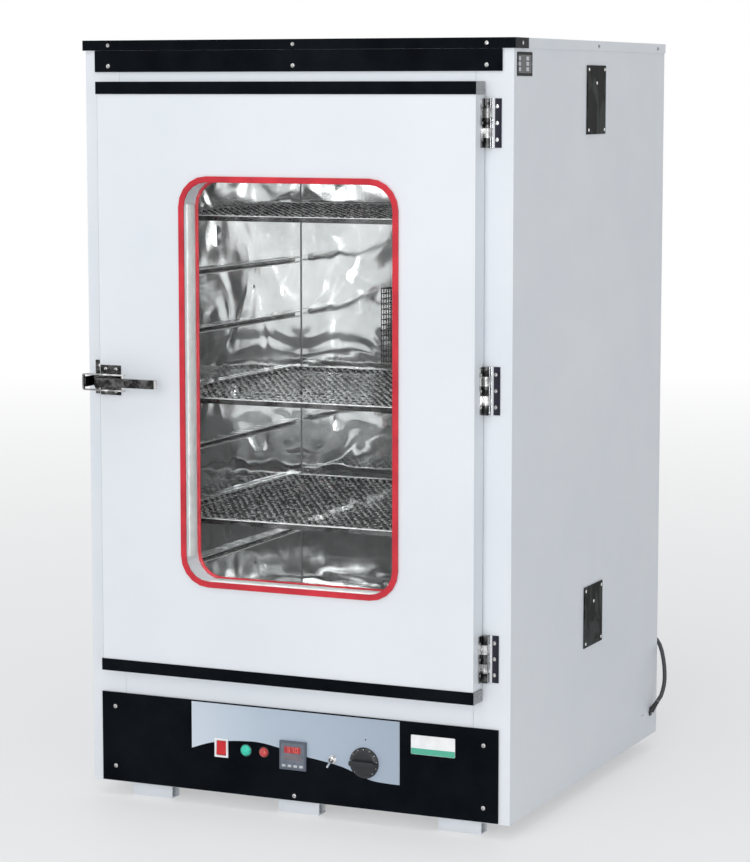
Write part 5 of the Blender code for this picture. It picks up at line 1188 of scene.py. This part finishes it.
def sheet_metal():
    """The painted cabinet and door, the chamber's walls, and the black sheets."""
    for node in ("back_panel", "top_cover", "base_pan", "bottom_rail", "top_rail"):
        refined(node, PAINT, 0.45 * MM)
    for node in ("left_side_panel", "right_side_panel"):
        refined(node, PAINT, 1.1 * MM, 3)
    door_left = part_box("door_outer_pan")[0].x + 3 * MM
    # The door's left fold gets a painted shade: the dark line where the door's edge turns away from the
    # light.
    edge = (DOOR_EDGE_PAINTED_SHADE, lambda spot, normal: spot.x < door_left and normal.x < -0.15 and normal.y < -0.15)
    refined("door_outer_pan", PAINT, 1.9 * MM, 4, accents=[edge])
    rail_root = RAIL_ROOT - 0.9 * MM
    web = RAIL_ROOT - 1.6 * MM
    # The rails get a painted highlight, and the webs between their flanges painted shade.
    rail = (RIM_PAINTED_HIGHLIGHT, lambda spot, normal: abs(spot.x) < rail_root)
    shade = (RAIL_SHADE, lambda spot, normal: web < abs(spot.x) < rail_root and abs(normal.x) > 0.9)
    for node in ("chamber_left_wall", "chamber_right_wall"):
        refined(node, STEEL, 0.3 * MM, accents=(rail, shade))
    refined("door_inner_pan", BRUSHED, 0.8 * MM)
    for node in ("top_fascia", "control_panel"):
        refined(node, BLACK, 0.35 * MM)
    for node in ("upper_side_cover", "lower_side_cover"):
        refined(node, COVER_BLACK, 0.3 * MM)
    low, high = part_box("cap_strip")
    face, side = low.y + 0.8 * MM, high.x - 0.8 * MM
    head = (BRIGHT, lambda spot, normal: spot.y < face or abs(spot.x) > side)
    refined("cap_strip", BLACK, 0.3 * MM, accents=[head])
    for node in ("bottom_door_strip", "top_door_strip"):
        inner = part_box(node)[1].x - 0.4 * MM
        refined(node, BLACK, 0.35 * MM, accents=[(STRIP_END, lambda spot, normal: spot.x > inner)])


def fittings():
    """The nodes that keep the CAD model's mesh, and the beads, the hinges and the latch."""
    kept = {
        "chamber_back_wall": STEEL, "chamber_floor": FLOOR_STEEL, "chamber_roof": FLOOR_STEEL,
        "glass_wool_jacket": WOOL, "fan_wheel": BRUSHED, "fan_motor": ZINC, "heater_element": ZINC,
        "door_seal": GREY_RUBBER, "outer_pane": GLASS, "inner_pane": GLASS,
    }
    for node, material in kept.items():
        for spot in NODES[node].material_slots:
            spot.material = material
    for node in ("outer_bead", "inner_bead"):
        refined(node, RED_RUBBER, 1.5 * MM, 4, 60)
    for place in ("lower", "middle", "upper"):
        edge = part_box(f"{place}_hinge_door_leaf")[1].x
        # The frame leaf's knuckles get painted dark reflection, so that they alternate dark and bright with
        # the door leaf's.
        knuckle_dark_reflection = (PLATE_PAINTED_DARK, lambda spot, normal: spot.x < edge)
        refined(f"{place}_hinge_frame_leaf", LEAF_STEEL, 0.3 * MM, accents=[knuckle_dark_reflection])
        refined(f"{place}_hinge_door_leaf", BRIGHT, 0.3 * MM)
    # The keeper, the base and the lever's body get painted dark reflection, and the lever's two ends a
    # painted highlight.
    for node in ("latch_keeper", "latch_base"):
        refined(node, PLATE_PAINTED_DARK, 0.4 * MM)
    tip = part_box("latch_lever")[1].x - 9 * MM
    lever_end_highlights = (BRIGHT, lambda spot, normal: spot.x > tip or normal.x < -0.8)
    refined("latch_lever", PLATE_PAINTED_DARK, 2.2 * MM, 4, accents=[lever_end_highlights])
    refined("latch_bail", BRIGHT, 0.9 * MM, 3)


# ---------------- light and floor

AMBIENT = 0.53
LAMPS = {                   # place, target, size and watts
    "key": ((0.6, -4.6, 1.8), (0, 0, 0.65), (2.8, 2.0), 42),
    "flash": ((1.3, -4.8, 0.75), (0, 0, 0.6), (0.4, 1.6), 22),
    "right": ((3.3, -3.6, 1.3), (0, 0, 0.65), (1.2, 1.6), 9),
    "left": ((-3.6, -3.0, 1.8), (0, 0, 0.65), (1.4, 1.8), 5),
    "top": ((0.3, -1.9, 3.9), (0, 0, 0.4), (2.0, 2.0), 22),
}


def background_rays(tree):
    """1 for the rays that show the background: those of the camera, of gloss and through glass."""
    path = add_node(tree, "ShaderNodeLightPath").outputs
    either = calculated(tree, "MAXIMUM", path["Is Camera Ray"], path["Is Glossy Ray"])
    return calculated(tree, "MAXIMUM", either, path["Is Transmission Ray"])


def stage_material():
    """A pale floor that fades to white far from the object, so that no horizon shows."""
    look = Look("studio_floor", (0.86, 0.86, 0.86), 0.6)
    look.colour(look.noise(0.6, 2), ((0.3, (0.86, 0.86, 0.865)), (0.7, (0.88, 0.88, 0.885))))
    look.bump(look.noise(60, 2), 0.0002)
    away = look.node("ShaderNodeVectorMath", {0: look.place}, operation="LENGTH").outputs["Value"]
    fade = look.ranged(away, 0.42, 1.0, 0.6, 7.0)
    shown = calculated(look.tree, "MULTIPLY", fade, background_rays(look.tree))
    white = look.node("ShaderNodeEmission")
    output_mix(look.tree, shown, look.shader.outputs[0], white.outputs[0])
    return look.material


def stage():
    bm = bmesh.new()
    bmesh.ops.create_circle(bm, cap_ends=True, radius=14, segments=96)
    mesh = bpy.data.meshes.new("floor")
    bm.to_mesh(mesh)
    bm.free()
    mesh.materials.append(stage_material())
    linked("floor", mesh)

    world = bpy.data.worlds.new("studio")
    bpy.context.scene.world = world
    world.use_nodes = True
    tree = world.node_tree
    shown = tree.nodes["Background"]
    fill(shown, {"Color": (1, 1, 1, 1), "Strength": 1})
    ambient = add_node(tree, "ShaderNodeBackground", {"Color": (0.93, 0.96, 1, 1), "Strength": AMBIENT})
    output_mix(tree, background_rays(tree), ambient.outputs[0], shown.outputs[0], "World Output")


def lights():
    for name, (place, target, size, power) in LAMPS.items():
        data = bpy.data.lights.new(name, "AREA")
        data.shape = "RECTANGLE"
        data.size, data.size_y = size
        data.energy = power
        lamp = linked(name, data)
        lamp.location = place
        lamp.rotation_euler = (Vector(target) - Vector(place)).to_track_quat("-Z", "Y").to_euler()
        # The key lamp's own image would flare white in the open chamber's mirror walls.
        lamp.visible_glossy = name != "key"


make_camera()
mains_lead()
strain_relief()
sheet_metal()
fittings()
cabinet_screws()
door_screws()
overlay()
labels()
rocker()
indicator("green_lamp", GREEN_LENS, 9.4)
indicator("red_lamp", RED_LENS, 8.0)
controller()
toggle()
knob()
window_spacers()
for level in ("lower_shelf", "middle_shelf", "upper_shelf"):
    shelf(level)
guard()
chamber_details()
rail_hems()
louvre_hoods()
stage()
lights()

bpy.context.scene.view_settings.view_transform = "Standard"
